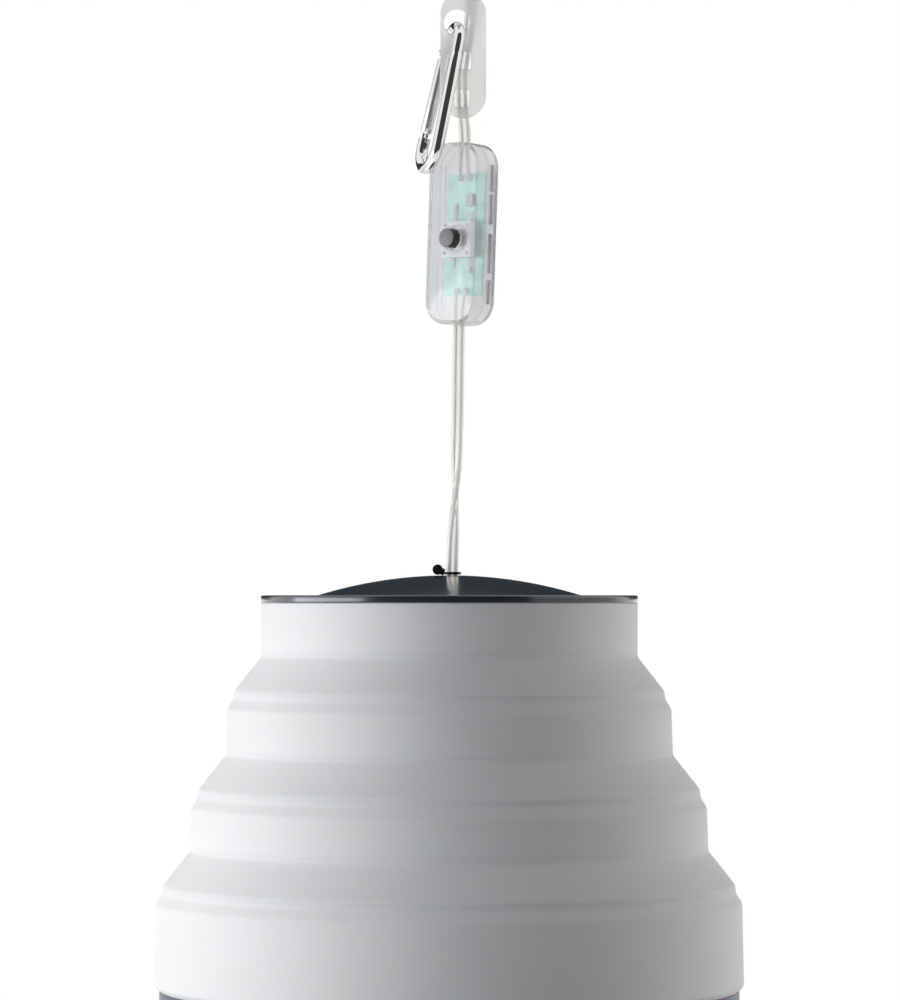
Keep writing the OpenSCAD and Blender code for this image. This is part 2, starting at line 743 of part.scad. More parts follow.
module tie_outline(extra) {
    hull() {
        translate([0, hank_y]) rounded_rect(2 * (hank_waist + extra), hank_d + 2 * extra, 1.2 + extra);
        translate([plug_x, lead_y]) rounded_rect(lead_w + 2 * extra, lead_t + 2 * extra, 0.9);
    }
}

module hank_tie() color(BLACK) hung() translate([0, 0, hank_z - tie_h / 2])
    linear_extrude(tie_h) difference() {
        tie_outline(tie_wall);
        tie_outline(0.05);
    }

module plug_lead() color(CLEAR) hung() swept(plug_route, lead_w, lead_t);

module plug_body() color(WHITE) hung() translate([plug_x, plug_y, plug_top_z]) {
    translate([0, 0, -plug_h]) linear_extrude(plug_h) rounded_rect(plug_w, plug_d, 2);
    linear_extrude(relief_h) difference() {
        rounded_rect(lead_w + 2.4, lead_t + 2.4, 1.5);
        square([lead_w + 0.1, lead_t + 0.1], center = true);
    }
}

module plug_shell() color(STEEL) hung()
    translate([plug_x, plug_y, plug_top_z - plug_h - usb_h]) difference() {
        linear_extrude(usb_h) difference() {
            rounded_rect(usb_w, usb_d, 0.5);
            square([usb_w - 0.7, usb_d - 0.7], center = true);
        }
        for (x = [-1, 1]) translate([x * 3, 0, usb_h - 5.5])
            cube([2.2, usb_d + 2, 2.2], center = true);
    }

module plug_tongue() color(WHITE) hung()
    translate([plug_x, plug_y + 0.9, plug_top_z - plug_h - usb_h / 2 + 0.3])
        cube([usb_w - 1.2, 1.8, usb_h - 0.6], center = true);

// ---- nodes ----

top_cap();
cable_tie();
inner_plate();
plate_screws();
led_board();
leds();
diffuser();
shade_top();
fold_1();
band_2();
fold_2();
band_3();
fold_3();
skirt();
base_ring();
switch_front();
switch_back();
switch_board();
board_parts();
tact_switch();
push_button();
hanger_tab();
hook_body();
hook_gate();
gate_pin();
gate_spring();
lower_cord();
upper_cord();
cord_hank();
hank_tie();
plug_lead();
plug_body();
plug_shell();
plug_tongue();
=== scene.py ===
"""Hanging lantern with a folding silicone shade, an in-line switch and a snap hook.

Builds the lantern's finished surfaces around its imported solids. Lengths in the tables below are
in millimetres, measured from the seam between cap and shade; pieces are made in metres.
"""

import math

import bmesh
import bpy
from bpy.props import FloatProperty, FloatVectorProperty, IntProperty, PointerProperty
from bpy.types import Operator, Panel, PropertyGroup
from mathutils import Matrix, Vector, geometry


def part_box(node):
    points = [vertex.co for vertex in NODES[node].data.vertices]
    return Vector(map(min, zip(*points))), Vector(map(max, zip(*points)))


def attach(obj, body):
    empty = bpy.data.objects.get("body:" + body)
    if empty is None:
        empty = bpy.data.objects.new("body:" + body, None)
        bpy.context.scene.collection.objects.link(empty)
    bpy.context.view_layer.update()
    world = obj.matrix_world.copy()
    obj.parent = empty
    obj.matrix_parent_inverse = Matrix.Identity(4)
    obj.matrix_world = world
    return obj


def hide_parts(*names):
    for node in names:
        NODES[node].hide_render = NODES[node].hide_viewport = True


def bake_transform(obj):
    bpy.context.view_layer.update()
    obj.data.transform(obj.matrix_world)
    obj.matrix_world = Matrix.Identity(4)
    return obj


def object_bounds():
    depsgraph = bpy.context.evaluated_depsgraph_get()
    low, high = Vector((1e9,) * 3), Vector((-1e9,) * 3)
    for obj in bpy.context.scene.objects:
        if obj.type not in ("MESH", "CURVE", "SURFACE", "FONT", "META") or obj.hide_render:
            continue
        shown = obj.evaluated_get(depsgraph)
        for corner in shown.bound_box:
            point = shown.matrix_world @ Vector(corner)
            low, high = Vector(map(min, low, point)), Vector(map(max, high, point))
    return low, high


bl_info = {
    "name": "Folding lantern",
    "version": (1, 0, 0),
    "blender": (4, 5, 0),
    "location": "View3D > Sidebar > Lantern",
    "description": "Builds a hanging lantern with a folding silicone shade",
    "category": "Object",
}

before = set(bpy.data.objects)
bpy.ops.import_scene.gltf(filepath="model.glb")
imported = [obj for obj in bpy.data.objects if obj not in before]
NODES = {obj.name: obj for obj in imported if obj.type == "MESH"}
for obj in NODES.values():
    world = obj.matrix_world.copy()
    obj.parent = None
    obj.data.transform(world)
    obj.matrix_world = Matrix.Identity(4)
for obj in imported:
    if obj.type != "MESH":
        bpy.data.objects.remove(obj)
CAD_BOX = [list(map(float, corner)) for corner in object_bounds()]

MM = 0.001
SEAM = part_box("shade_top")[1][2]  # height of the seam between cap and shade
TURN = 2 * math.pi


def at(x, y, z):
    """A point given in millimetres from the seam."""
    return Vector((x * MM, y * MM, z * MM + SEAM))


def node_mm(name):
    """A node's lowest and highest corners in millimetres from the seam."""
    low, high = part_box(name)
    lift = Vector((0, 0, SEAM))
    return (Vector(low) - lift) / MM, (Vector(high) - lift) / MM


# ---- sizes and colours ----


def length(name, text, value):
    return FloatProperty(
        name=name, description=text, default=value * MM, min=0.0, unit="LENGTH", precision=5
    )


def colour(name, text, value):
    return FloatVectorProperty(
        name=name, description=text, default=value, size=3, min=0.0, max=1.0, subtype="COLOR"
    )


class LanternShade(PropertyGroup):
    cone_run: length("Cone run", "How much each folding cone widens the shade", 8.8)
    cone_height: length("Cone height", "Height of each folding cone", 11.2)
    step_run: length("Step run", "How much each step widens the shade", 0.4)
    step_height: length("Step height", "Height of the step below each cone", 2.9)
    shoulder_run: length("Shoulder run", "How much each shoulder widens the shade", 2.0)
    shoulder_height: length("Shoulder height", "Height of each shoulder", 3.2)
    wall: length("Wall", "Wall of the silicone", 2.2)
    crease: length("Crease", "Softness of the folding creases", 0.75)
    hem: length("Hem", "Bevel round the foot of the skirt", 1.5)
    steps: IntProperty(name="Steps", description="Facets round the shade", default=192, min=24)
    silicone: colour("Silicone", "Colour of the shade", (0.80, 0.805, 0.815))
    ring: colour("Ring", "Colour of the base ring", (0.060, 0.088, 0.122))


class LanternCap(PropertyGroup):
    lip: length("Lip", "Thickness of the cap's lip", 2.5)
    dome_rise: length("Dome rise", "Height of the dome above the lip", 6.7)
    dome_radius: length("Dome radius", "Radius of the dome where it leaves the lip", 44.0)
    wall: length("Wall", "Wall of the cap", 2.0)
    hole: length("Hole", "Radius of the hole for the lead", 3.5)
    plastic: colour("Plastic", "Colour of the cap", (0.018, 0.025, 0.037))
    diffuser: colour("Diffuser", "Colour of the diffuser", (0.88, 0.88, 0.86))


class LanternLead(PropertyGroup):
    width: length("Width", "Width of the flat twin lead", 4.0)
    thickness: length("Thickness", "Thickness of the flat twin lead", 2.0)
    core: length("Core", "Radius of each core's bundle of strands", 0.42)
    jacket: colour("Jacket", "Colour of the clear jacket", (0.945, 0.935, 0.905))
    strands: colour("Strands", "Colour of the tinned strands", (0.72, 0.71, 0.68))


class LanternSwitch(PropertyGroup):
    width: length("Width", "Width of the switch box", 21.0)
    depth: length("Depth", "Depth of the switch box", 11.8)
    height: length("Height", "Height of the switch box", 60.7)
    corner: length("Corner", "Radius of the box's corners", 8.0)
    wall: length("Wall", "Wall of the box", 1.4)
    plastic: colour("Plastic", "Colour of the clear shells", (0.80, 0.80, 0.81))
    board: colour("Board", "Colour of the circuit board", (0.46, 0.78, 0.71))


class LanternHook(PropertyGroup):
    wire: length("Wire", "Diameter of the hook's wire", 4.0)
    tab: colour("Tab", "Colour of the milky hanger tab", (0.905, 0.905, 0.90))
    steel: colour("Steel", "Colour of the polished steel", (0.80, 0.80, 0.81))


SETTINGS = {
    "lantern_shade": LanternShade,
    "lantern_cap": LanternCap,
    "lantern_lead": LanternLead,
    "lantern_switch": LanternSwitch,
    "lantern_hook": LanternHook,
}


# ---- mesh helpers ----


def new_piece(bm, name, *materials, sharp=40.0):
    """Turns a bmesh into a finished, smooth-shaded piece; materials are given by name."""
    outward(bm)
    mesh = bpy.data.meshes.new(name)
    bm.to_mesh(mesh)
    bm.free()
    for material in materials:
        mesh.materials.append(MATERIALS[material])
    mesh.shade_smooth()
    mesh.set_sharp_from_angle(angle=math.radians(sharp))
    piece = bpy.data.objects.new(name, mesh)
    bpy.context.scene.collection.objects.link(piece)
    return piece


def dress(piece, body, slot, *nodes):
    """Rides a piece on its body and takes its nodes' place; the slot it is given is not used."""
    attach(piece, body)
    if nodes:
        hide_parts(*nodes)


def placed(bm, place=(0, 0, 0)):
    """Moves a mesh drawn in millimetres to its place from the seam."""
    for v in bm.verts:
        v.co = at(v.co.x + place[0], v.co.y + place[1], v.co.z + place[2])


def outward(bm):
    bmesh.ops.recalc_face_normals(bm, faces=bm.faces)


def spun(bm, points, axis, steps):
    """Spins a closed section round an axis through the origin."""
    verts = [bm.verts.new(p) for p in points]
    edges = [bm.edges.new(pair) for pair in zip(verts, verts[1:] + verts[:1])]
    bmesh.ops.spin(
        bm, geom=verts + edges, cent=(0, 0, 0), axis=axis, angle=TURN, steps=steps,
        use_merge=True, use_duplicate=False,
    )


def bevelled(bm, edges, amount, segments=3):
    if edges and amount > 0:
        bmesh.ops.bevel(
            bm, geom=edges, offset=amount, offset_type="OFFSET", segments=segments,
            profile=0.5, affect="EDGES", clamp_overlap=True, material=-1,
        )


def round_ring(bm, radius, height, amount):
    """Rounds the circular edge at one radius and height of a turned piece."""
    near = 2e-5

    def on_ring(v):
        away = math.hypot(v.co.x, v.co.y) - radius
        return abs(away) < near and abs(v.co.z - height) < near

    bevelled(bm, [e for e in bm.edges if all(on_ring(v) for v in e.verts)], amount, 4)


def turned_piece(name, corners, material, sharp=40.0):
    """A turned piece from its half section: corners of radius, height and rounding, in mm."""
    bm = bmesh.new()
    steps = bpy.context.scene.lantern_shade.steps
    spun(bm, [at(r, 0, z) for r, z, _ in corners], (0, 0, 1), steps)
    bmesh.ops.remove_doubles(bm, verts=bm.verts, dist=1e-6)
    for r, z, rounding in corners:
        if rounding:
            round_ring(bm, r * MM, z * MM + SEAM, rounding * MM)
    return new_piece(bm, name, material, sharp=sharp)


def oblong_outline(width, height, corner, segments=10):
    """Points of a rounded rectangle about the origin."""
    points = []
    for quarter, (x, y) in enumerate([(1, 1), (-1, 1), (-1, -1), (1, -1)]):
        for i in range(segments + 1):
            a = math.radians(90 * quarter + 90 * i / segments)
            px = x * (width / 2 - corner) + corner * math.cos(a)
            py = y * (height / 2 - corner) + corner * math.sin(a)
            points.append((px, py))
    return points


def plate(bm, outline, low, high, bevel=0.0, segments=3):
    """A flat plate over an outline between two heights, with its rims bevelled."""
    verts = [bm.verts.new((x, y, low)) for x, y in outline]
    face = bm.faces.new(verts)
    new = bmesh.ops.extrude_face_region(bm, geom=[face], use_keep_orig=True)["geom"]
    top = [g for g in new if isinstance(g, bmesh.types.BMVert)]
    bmesh.ops.translate(bm, vec=(0, 0, high - low), verts=top)
    made = verts + top
    if bevel:
        rims = {
            e for v in made for e in v.link_edges
            if abs(e.verts[0].co.z - e.verts[1].co.z) < 1e-9
        }
        bevelled(bm, list(rims), bevel, segments)
    return made


def ball(bm, centre, radius, segments=16):
    made = bmesh.ops.create_uvsphere(
        bm, u_segments=segments, v_segments=segments // 2, radius=radius
    )
    bmesh.ops.translate(bm, vec=centre, verts=made["verts"])


def rod(bm, start, end, radius, segments=24, bevel=0.0):
    """A round rod between two points."""
    start, end = Vector(start), Vector(end)
    turn = (end - start).to_track_quat("Z", "Y").to_matrix().to_4x4()
    place = Matrix.Translation((start + end) / 2) @ turn
    made = bmesh.ops.create_cone(
        bm, cap_ends=True, segments=segments, radius1=radius, radius2=radius,
        depth=(end - start).length, matrix=place,
    )["verts"]
    if bevel:
        along = (end - start).normalized()

        def across(e):
            return abs((e.verts[0].co - e.verts[1].co).normalized().dot(along)) < 0.1

        bevelled(bm, [e for e in {e for v in made for e in v.link_edges} if across(e)], bevel, 2)


def block(bm, centre, size, bevel=0.0):
    made = bmesh.ops.create_cube(bm, size=1.0)["verts"]
    bmesh.ops.scale(bm, vec=size, verts=made)
    bmesh.ops.translate(bm, vec=centre, verts=made)
    if bevel:
        bevelled(bm, list({e for v in made for e in v.link_edges}), bevel, 2)
    return made


def smooth_line(points, pieces=6):
    """A smooth run of points through the given ones."""
    points = [Vector(p) for p in points]
    line = []
    for i, (a, b) in enumerate(zip(points, points[1:])):
        before, after = points[max(i - 1, 0)], points[min(i + 2, len(points) - 1)]
        lead_in, lead_out = a + (b - before) / 6, b - (after - a) / 6
        line += geometry.interpolate_bezier(a, lead_in, lead_out, b, pieces + 1)[:-1]
    return line + [points[-1]]


def frames_along(line, across=None, twist=None):
    """A place for each point of a line: X across it, Y up from it and Z along it."""
    frames = []
    for i, p in enumerate(line):
        heading = (line[min(i + 1, len(line) - 1)] - line[max(i - 1, 0)]).normalized()
        side = (across or Vector((0, 1, 0)).cross(heading)).normalized()
        side = (side - heading * side.dot(heading)).normalized()
        if twist:
            side = Matrix.Rotation(twist(i / (len(line) - 1)), 3, heading) @ side
        up = heading.cross(side)
        rows = [(side[k], up[k], heading[k], p[k]) for k in range(3)]
        frames.append(Matrix(rows + [(0, 0, 0, 1)]))
    return frames


def sweep(bm, section, frames, material=0, girth=None):
    """Draws a closed section along the frames, and keeps how far along and round it goes."""
    along = bm.verts.layers.float.get("along") or bm.verts.layers.float.new("along")
    round_it = bm.verts.layers.float.get("around") or bm.verts.layers.float.new("around")
    rings, distance = [], 0.0
    for i, place in enumerate(frames):
        size = girth(i) if girth else 1.0
        ring = [bm.verts.new(place @ Vector((x * size, y * size, 0))) for x, y in section]
        if i:
            distance += (place.translation - frames[i - 1].translation).length
        for k, v in enumerate(ring):
            v[along], v[round_it] = distance, k / len(section)
        rings.append(ring)
    faces = [bm.faces.new(rings[0]), bm.faces.new(rings[-1])]
    for near, far in zip(rings, rings[1:]):
        for k in range(len(section)):
            n = (k + 1) % len(section)
            faces.append(bm.faces.new((near[k], near[n], far[n], far[k])))
    for face in faces:
        face.material_index = material


def circle(radius, sides, x=0.0, y=0.0):
    return [
        (x + radius * math.cos(TURN * k / sides), y + radius * math.sin(TURN * k / sides))
        for k in range(sides)
    ]


def carved(piece, bm, place=None, floor=None):
    """Cuts a mesh out of a piece; the cut's own faces may get another material."""
    if place:
        bm.transform(place)
    outward(bm)
    mesh = bpy.data.meshes.new("cutter")
    bm.to_mesh(mesh)
    bm.free()
    if floor:
        mesh.materials.append(MATERIALS[floor])
    cutter = bpy.data.objects.new("cutter", mesh)
    bpy.context.scene.collection.objects.link(cutter)
    cut = piece.modifiers.new("cut", "BOOLEAN")
    cut.operation, cut.solver, cut.object = "DIFFERENCE", "EXACT", cutter
    cut.material_mode = "TRANSFER" if floor else "INDEX"
    bpy.context.view_layer.update()
    graph = bpy.context.evaluated_depsgraph_get()
    result = bpy.data.meshes.new_from_object(piece.evaluated_get(graph))
    piece.modifiers.clear()
    old, piece.data = piece.data, result
    result.name = old.name
    bpy.data.meshes.remove(old)
    bpy.data.objects.remove(cutter)
    bpy.data.meshes.remove(mesh)
    result.shade_smooth()
    result.set_sharp_from_angle(angle=math.radians(35))
    return piece


# ---- materials ----

GROUPS = {}
MATERIALS = {}


KINDS = {"Vector": "Vector", "Colour": "Color", "Shade Colour": "Color"}


def node_group(name, outputs, **inputs):
    """An empty shader node group with named sockets: its tree, what it is given, its end node."""
    tree = bpy.data.node_groups.new(name, "ShaderNodeTree")
    given = [(key.replace("_", " "), "INPUT", value) for key, value in inputs.items()]
    for label, way, value in given + [(label, "OUTPUT", None) for label in outputs]:
        kind = "NodeSocket" + KINDS.get(label, "Float")
        socket = tree.interface.new_socket(name=label, in_out=way, socket_type=kind)
        if value is not None:
            socket.default_value = value
    return tree, tree.nodes.new("NodeGroupInput").outputs, tree.nodes.new("NodeGroupOutput")


def feed(tree, socket, value):
    """Links an output to a socket, or sets the socket to a plain value."""
    if isinstance(value, bpy.types.NodeSocket):
        tree.links.new(value, socket)
    else:
        socket.default_value = value


def fill(tree, node, **values):
    """Fills a node's sockets by name, each from an output socket or with a plain value."""
    for key, value in values.items():
        feed(tree, node.inputs[key.replace("_", " ")], value)


def add(tree, kind, **values):
    """Adds a node; a value named in lower case is a setting, the rest are its sockets."""
    node = tree.nodes.new("ShaderNode" + kind)
    for key in [key for key in values if key[0].islower()]:
        setattr(node, key, values.pop(key))
    fill(tree, node, **values)
    return node


def maths(tree, operation, *values, kind="Math"):
    """The result of a Math node over output sockets and plain values."""
    node = add(tree, kind, operation=operation)
    for socket, value in zip(node.inputs, values):
        feed(tree, socket, value)
    return node.outputs[0]


def blended(tree, factor, first, second, mode="MIX"):
    """Mixes two colours or plain values; each is an output socket or a value."""
    plain = isinstance(first, (int, float)) or getattr(first, "type", "") == "VALUE"
    node = tree.nodes.new("ShaderNodeMix")
    node.data_type = "FLOAT" if plain else "RGBA"
    if not plain:
        node.blend_type = mode
    a, b = (2, 3) if plain else (6, 7)
    for slot, value in ((0, factor), (a, first), (b, second)):
        feed(tree, node.inputs[slot], value)
    return node.outputs[0 if plain else 2]


def stretch(tree, value, low, high, start=0.0, end=1.0):
    """Maps a value from one range to another, clamped."""
    node = add(
        tree, "MapRange", Value=value, From_Min=low, From_Max=high, To_Min=start, To_Max=end
    )
    return node.outputs["Result"]


def surface_life():
    """Mottling, lint and a fine grain, for moulded and soft surfaces."""
    tree, given, out = node_group(
        "surface_life", ("Colour", "Roughness", "Height"), Vector=None,
        Colour=(0.8, 0.8, 0.8, 1), Shade_Colour=(0.7, 0.7, 0.7, 1), Roughness=0.5,
        Roughness_Spread=0.1, Mottle_Scale=20.0, Grain_Scale=900.0, Lint=0.0,
    )
    place = given["Vector"]
    mottle = add(
        tree, "TexNoise", Vector=place, Scale=given["Mottle Scale"], Detail=3.0, Roughness=0.55
    )
    grain = add(
        tree, "TexNoise", Vector=place, Scale=given["Grain Scale"], Detail=2.0, Roughness=0.6
    )
    specks = add(tree, "TexVoronoi", Vector=place, Scale=420.0, Randomness=1.0)
    patch = stretch(tree, mottle.outputs["Fac"], 0.35, 0.7)
    tinted = blended(tree, patch, given["Colour"], given["Shade Colour"])
    fleck = stretch(tree, specks.outputs["Distance"], 0.05, 0.12, 1.0, 0.0)
    rare = maths(tree, "GREATER_THAN", specks.outputs["Color"], 0.72)
    lint = maths(tree, "MULTIPLY", maths(tree, "MULTIPLY", fleck, rare), given["Lint"])
    fill(
        tree, out, Colour=blended(tree, lint, tinted, (0.62, 0.60, 0.57, 1)),
        Roughness=maths(
            tree, "MULTIPLY_ADD", patch, given["Roughness Spread"], given["Roughness"]
        ),
        Height=grain.outputs["Fac"],
    )
    return tree


def fine_scratches():
    """Hairline scratches and smudges, for gloss and polish."""
    tree, given, out = node_group(
        "fine_scratches", ("Roughness", "Mask", "Height"), Vector=None, Roughness=0.1,
        Smudge=0.1, Scratch=0.2, Scale=60.0,
    )
    place = given["Vector"]
    bent = add(tree, "TexNoise", Vector=place, Scale=14.0, Detail=2.0).outputs
    lean = maths(tree, "MULTIPLY_ADD", bent["Color"], (0.02,) * 3, place, kind="VectorMath")
    lines = add(
        tree, "TexVoronoi", feature="DISTANCE_TO_EDGE", Vector=lean, Scale=given["Scale"]
    )
    thin = stretch(tree, lines.outputs["Distance"], 0.0, 0.012, 1.0, 0.0)
    mask = maths(tree, "MULTIPLY", thin, stretch(tree, bent["Fac"], 0.52, 0.6))
    rub = maths(tree, "MULTIPLY_ADD", bent["Fac"], given["Smudge"], given["Roughness"])
    worn = maths(tree, "MULTIPLY_ADD", mask, given["Scratch"], rub)
    fill(tree, out, Roughness=worn, Mask=mask, Height=mask)
    return tree


def strand_lay():
    """The lay of twisted strands along a swept piece, with a mask of the grooves between them for
    painted shade.
    """
    tree, given, out = node_group(
        "strand_lay", ("Height", "Mask"), Along=0.0, Around=0.0, Pitch=300.0, Strands=7.0
    )
    down = maths(tree, "MULTIPLY", given["Along"], given["Pitch"])
    helix = maths(tree, "MULTIPLY_ADD", given["Around"], given["Strands"], down)
    wave = maths(tree, "SINE", maths(tree, "MULTIPLY", helix, TURN))
    # a mask of the grooves between strands, which darkens them: painted shade
    between = stretch(tree, wave, -1.0, -0.2, 1.0, 0.0)
    fill(tree, out, Height=stretch(tree, wave, -1.0, 1.0), Mask=between)
    return tree


def group(tree, make, **values):
    """Places a shared node group in a material, building it the first time."""
    if make.__name__ not in GROUPS:
        GROUPS[make.__name__] = make()
    return add(tree, "Group", node_tree=GROUPS[make.__name__], **values).outputs


def rgba(value, share=1.0):
    return tuple(min(1.0, c * share) for c in value) + (1.0,)


def shaded(name, **values):
    """A material's tree and Principled shader, whose sockets are set by name."""
    material = MATERIALS[name] = bpy.data.materials.new(name)
    material.use_nodes = True
    tree = material.node_tree
    shader = tree.nodes["Principled BSDF"]
    fill(tree, shader, **values)
    return tree, shader


def where(tree):
    return tree.nodes.new("ShaderNodeTexCoord").outputs["Object"]


def bump(tree, shader, height, strength, distance):
    node = add(tree, "Bump", Height=height, Strength=strength, Distance=distance)
    fill(tree, shader, Normal=node.outputs["Normal"])


def lively(name, tone, roughness, shade=0.92, spread=0.08, mottle=25.0, grain=900.0,
           depth=0.00003, strength=0.25, lint=0.0, **values):
    """A moulded or soft material with mottling, a fine grain and a little lint."""
    tree, shader = shaded(name, **values)
    life = group(
        tree, surface_life, Vector=where(tree), Colour=rgba(tone),
        Shade_Colour=rgba(tone, shade), Roughness=roughness, Roughness_Spread=spread,
        Mottle_Scale=mottle, Grain_Scale=grain, Lint=lint,
    )
    fill(tree, shader, Base_Color=life["Colour"], Roughness=life["Roughness"])
    bump(tree, shader, life["Height"], strength, depth)


def polished(name, tone, roughness, smudge=0.08, scratch=0.15, scale=60.0, marks=0.0,
             mark=(0.5, 0.5, 0.5), **values):
    """A glossy or metal material with smudges and hairline scratches."""
    tree, shader = shaded(name, **values)
    wear = group(
        tree, fine_scratches, Vector=where(tree), Roughness=roughness, Smudge=smudge,
        Scratch=scratch, Scale=scale,
    )
    worn = blended(tree, maths(tree, "MULTIPLY", wear["Mask"], marks), rgba(tone), rgba(mark))
    fill(tree, shader, Base_Color=worn, Roughness=wear["Roughness"])
    bump(tree, shader, wear["Height"], 0.15, 0.00002)


def make_materials(context):
    """Every finish of the lantern."""
    scene = context.scene
    shade, cap, lead = scene.lantern_shade, scene.lantern_cap, scene.lantern_lead
    switch, hook = scene.lantern_switch, scene.lantern_hook
    lively(
        "matte_silicone", shade.silicone, 0.52, shade=0.965, mottle=9.0, grain=2600.0,
        depth=0.00002, lint=0.10, Subsurface_Weight=0.22, Subsurface_Radius=(1.0, 0.9, 0.8),
        Subsurface_Scale=0.0025, Sheen_Weight=0.06, Sheen_Roughness=0.5,
        Specular_IOR_Level=0.18,
    )
    lively(
        "slate_plastic", shade.ring, 0.34, shade=0.85, grain=1800.0, depth=0.00002, lint=0.1,
    )
    polished(
        "gloss_cap_plastic", cap.plastic, 0.20, smudge=0.10, scratch=0.25, scale=34.0,
        marks=0.5, mark=(0.30, 0.33, 0.36), Coat_Weight=1.0, Coat_Roughness=0.15,
    )
    lively("white_plastic", (0.78, 0.78, 0.76), 0.38, grain=1500.0, depth=0.00002)
    lively(
        "frosted_diffuser", cap.diffuser, 0.45, shade=0.97, grain=3000.0,
        Subsurface_Weight=0.4, Subsurface_Radius=(1.0, 0.95, 0.85), Subsurface_Scale=0.004,
        Transmission_Weight=0.25,
    )
    lively("board_white", (0.72, 0.72, 0.69), 0.35, grain=1200.0)
    lively("led_phosphor", (0.86, 0.70, 0.16), 0.5, shade=0.85, grain=2500.0)
    polished("screw_steel", (0.55, 0.55, 0.56), 0.22, Metallic=1.0)
    lively(
        "black_nylon", (0.014, 0.014, 0.015), 0.28, shade=0.8, grain=1400.0, lint=0.05,
    )
    lively(
        "clear_plastic", switch.plastic, 0.10, shade=0.99, spread=0.05, grain=700.0,
        strength=0.08, Transmission_Weight=0.86, IOR=1.24, Coat_Weight=0.6,
        Coat_Roughness=0.06,
    )
    # a darker grey for the cut faces of the right-hand slots: painted shade
    lively(
        "slot_painted_shade", (0.42, 0.415, 0.41), 0.30, shade=0.9, grain=700.0, strength=0.08,
        Transmission_Weight=0.35, IOR=1.24,
    )
    lively(
        "board_green", switch.board, 0.30, shade=0.72, spread=0.15, mottle=260.0, grain=1600.0,
    )
    polished("solder", (0.72, 0.72, 0.71), 0.25, smudge=0.3, Metallic=1.0)
    lively("part_grey", (0.42, 0.43, 0.44), 0.4, grain=2000.0)
    lively("switch_white", (0.74, 0.75, 0.77), 0.35, grain=1800.0)
    lively("button_black", (0.030, 0.030, 0.032), 0.30, shade=0.8, spread=0.12, grain=1300.0)
    # a lighter grey for the button's flat front face: painted sheen
    lively("button_face_painted_sheen", (0.22, 0.22, 0.225), 0.42, shade=0.9, spread=0.1, grain=1300.0)
    lively(
        "milky_plastic", hook.tab, 0.78, shade=0.97, mottle=60.0, grain=1000.0, strength=0.12,
        Transmission_Weight=0.76, IOR=1.42,
    )
    polished(
        "polished_steel", hook.steel, 0.035, smudge=0.05, scratch=0.2, scale=140.0, Metallic=1.0
    )
    polished(
        "satin_steel", hook.steel, 0.28, smudge=0.08, scratch=0.2, scale=140.0, Metallic=1.0
    )
    lively(
        "clear_jacket", lead.jacket, 0.13, shade=0.97, spread=0.08, mottle=70.0, grain=600.0,
        strength=0.1, Transmission_Weight=0.84, IOR=1.38,
    )
    polished("contact_gold", (0.85, 0.62, 0.28), 0.2, Metallic=1.0)
    strands()
    webbing()


def strands():
    """Tinned copper strands twisted into a core."""
    tree, shader = shaded("tinned_strands", Metallic=0.5)
    along, around = [
        add(tree, "Attribute", attribute_name=name).outputs["Fac"] for name in ("along", "around")
    ]
    twist = group(tree, strand_lay, Along=along, Around=around, Pitch=260.0, Strands=7.0)
    tone = bpy.context.scene.lantern_lead.strands
    life = group(
        tree, surface_life, Vector=where(tree), Roughness=0.30, Roughness_Spread=0.15,
        Grain_Scale=2000.0,
    )
    # the grooves between strands are painted darker: painted shade
    fill(
        tree, shader, Base_Color=blended(tree, twist["Mask"], rgba(tone), rgba(tone, 0.7)),
        Roughness=life["Roughness"],
    )
    bump(tree, shader, twist["Height"], 0.6, 0.0001)


def webbing():
    """Black woven webbing of the hank's tie."""
    tree, shader = shaded("tie_webbing", Sheen_Weight=0.3, Sheen_Roughness=0.4)
    place = where(tree)
    weave = dict(Vector=place, Scale=420.0, Distortion=1.2)
    weft = add(tree, "TexWave", bands_direction="Z", Detail=1.0, **weave)
    warp = add(tree, "TexWave", bands_direction="X", **weave)
    both = blended(tree, 0.5, weft.outputs["Color"], warp.outputs["Color"])
    life = group(
        tree, surface_life, Vector=place, Roughness=0.75, Roughness_Spread=0.15,
        Grain_Scale=3000.0,
    )
    dark, light = (0.012, 0.012, 0.013, 1), (0.035, 0.035, 0.037, 1)
    fill(
        tree, shader, Base_Color=blended(tree, both, dark, light), Roughness=life["Roughness"]
    )
    bump(tree, shader, both, 0.5, 0.00015)


# ---- shade ----

# Height and radius at which each folding cone starts, from the top
CREASES = [(node_mm(name)[0].z, node_mm(name)[1].x) for name in ("shade_top", "band_2", "band_3")]
BODIES = ["head", "second_band", "third_band", "skirt_body"]
SILICONE = "matte_silicone"
ABOVE_CREASE = 1.5  # where a fold's piece starts, above its upper crease
BELOW_FOOT = 1.2  # and where it ends, below its lower one
FLARE = 0.03 * ABOVE_CREASE  # how much narrower a band is there than at its crease
CONE_RINGS = 10
FLANGE_W, FLANGE_T = 15.1, 2.2  # of the flange that the cap and the inner plate clamp


def fold_section(shade, z, r):
    """Half section of a folding cone, with the start of the band above and the step below."""
    run, high = shade.cone_run / MM, shade.cone_height / MM
    wall, crease = shade.wall / MM, shade.crease / MM
    foot = BELOW_FOOT * shade.step_run / shade.step_height
    thin = wall - 0.3
    cone = [(r + run * k / CONE_RINGS, z - high * k / CONE_RINGS) for k in range(1, CONE_RINGS)]
    outer = [(r - FLARE, z + ABOVE_CREASE, 0), (r, z, crease)] + [(x, y, 0) for x, y in cone]
    outer += [(r + run, z - high, crease), (r + run + foot, z - high - BELOW_FOOT, 0)]
    inner = [(r + run + foot - wall, z - high - BELOW_FOOT, 0)]
    inner += [(r + run - thin, z - high - 0.3, 0.4)] + [(x - thin, y, 0) for x, y in cone[::-1]]
    return outer + inner + [(r - thin, z, 0.4), (r - FLARE - wall, z + ABOVE_CREASE, 0)]


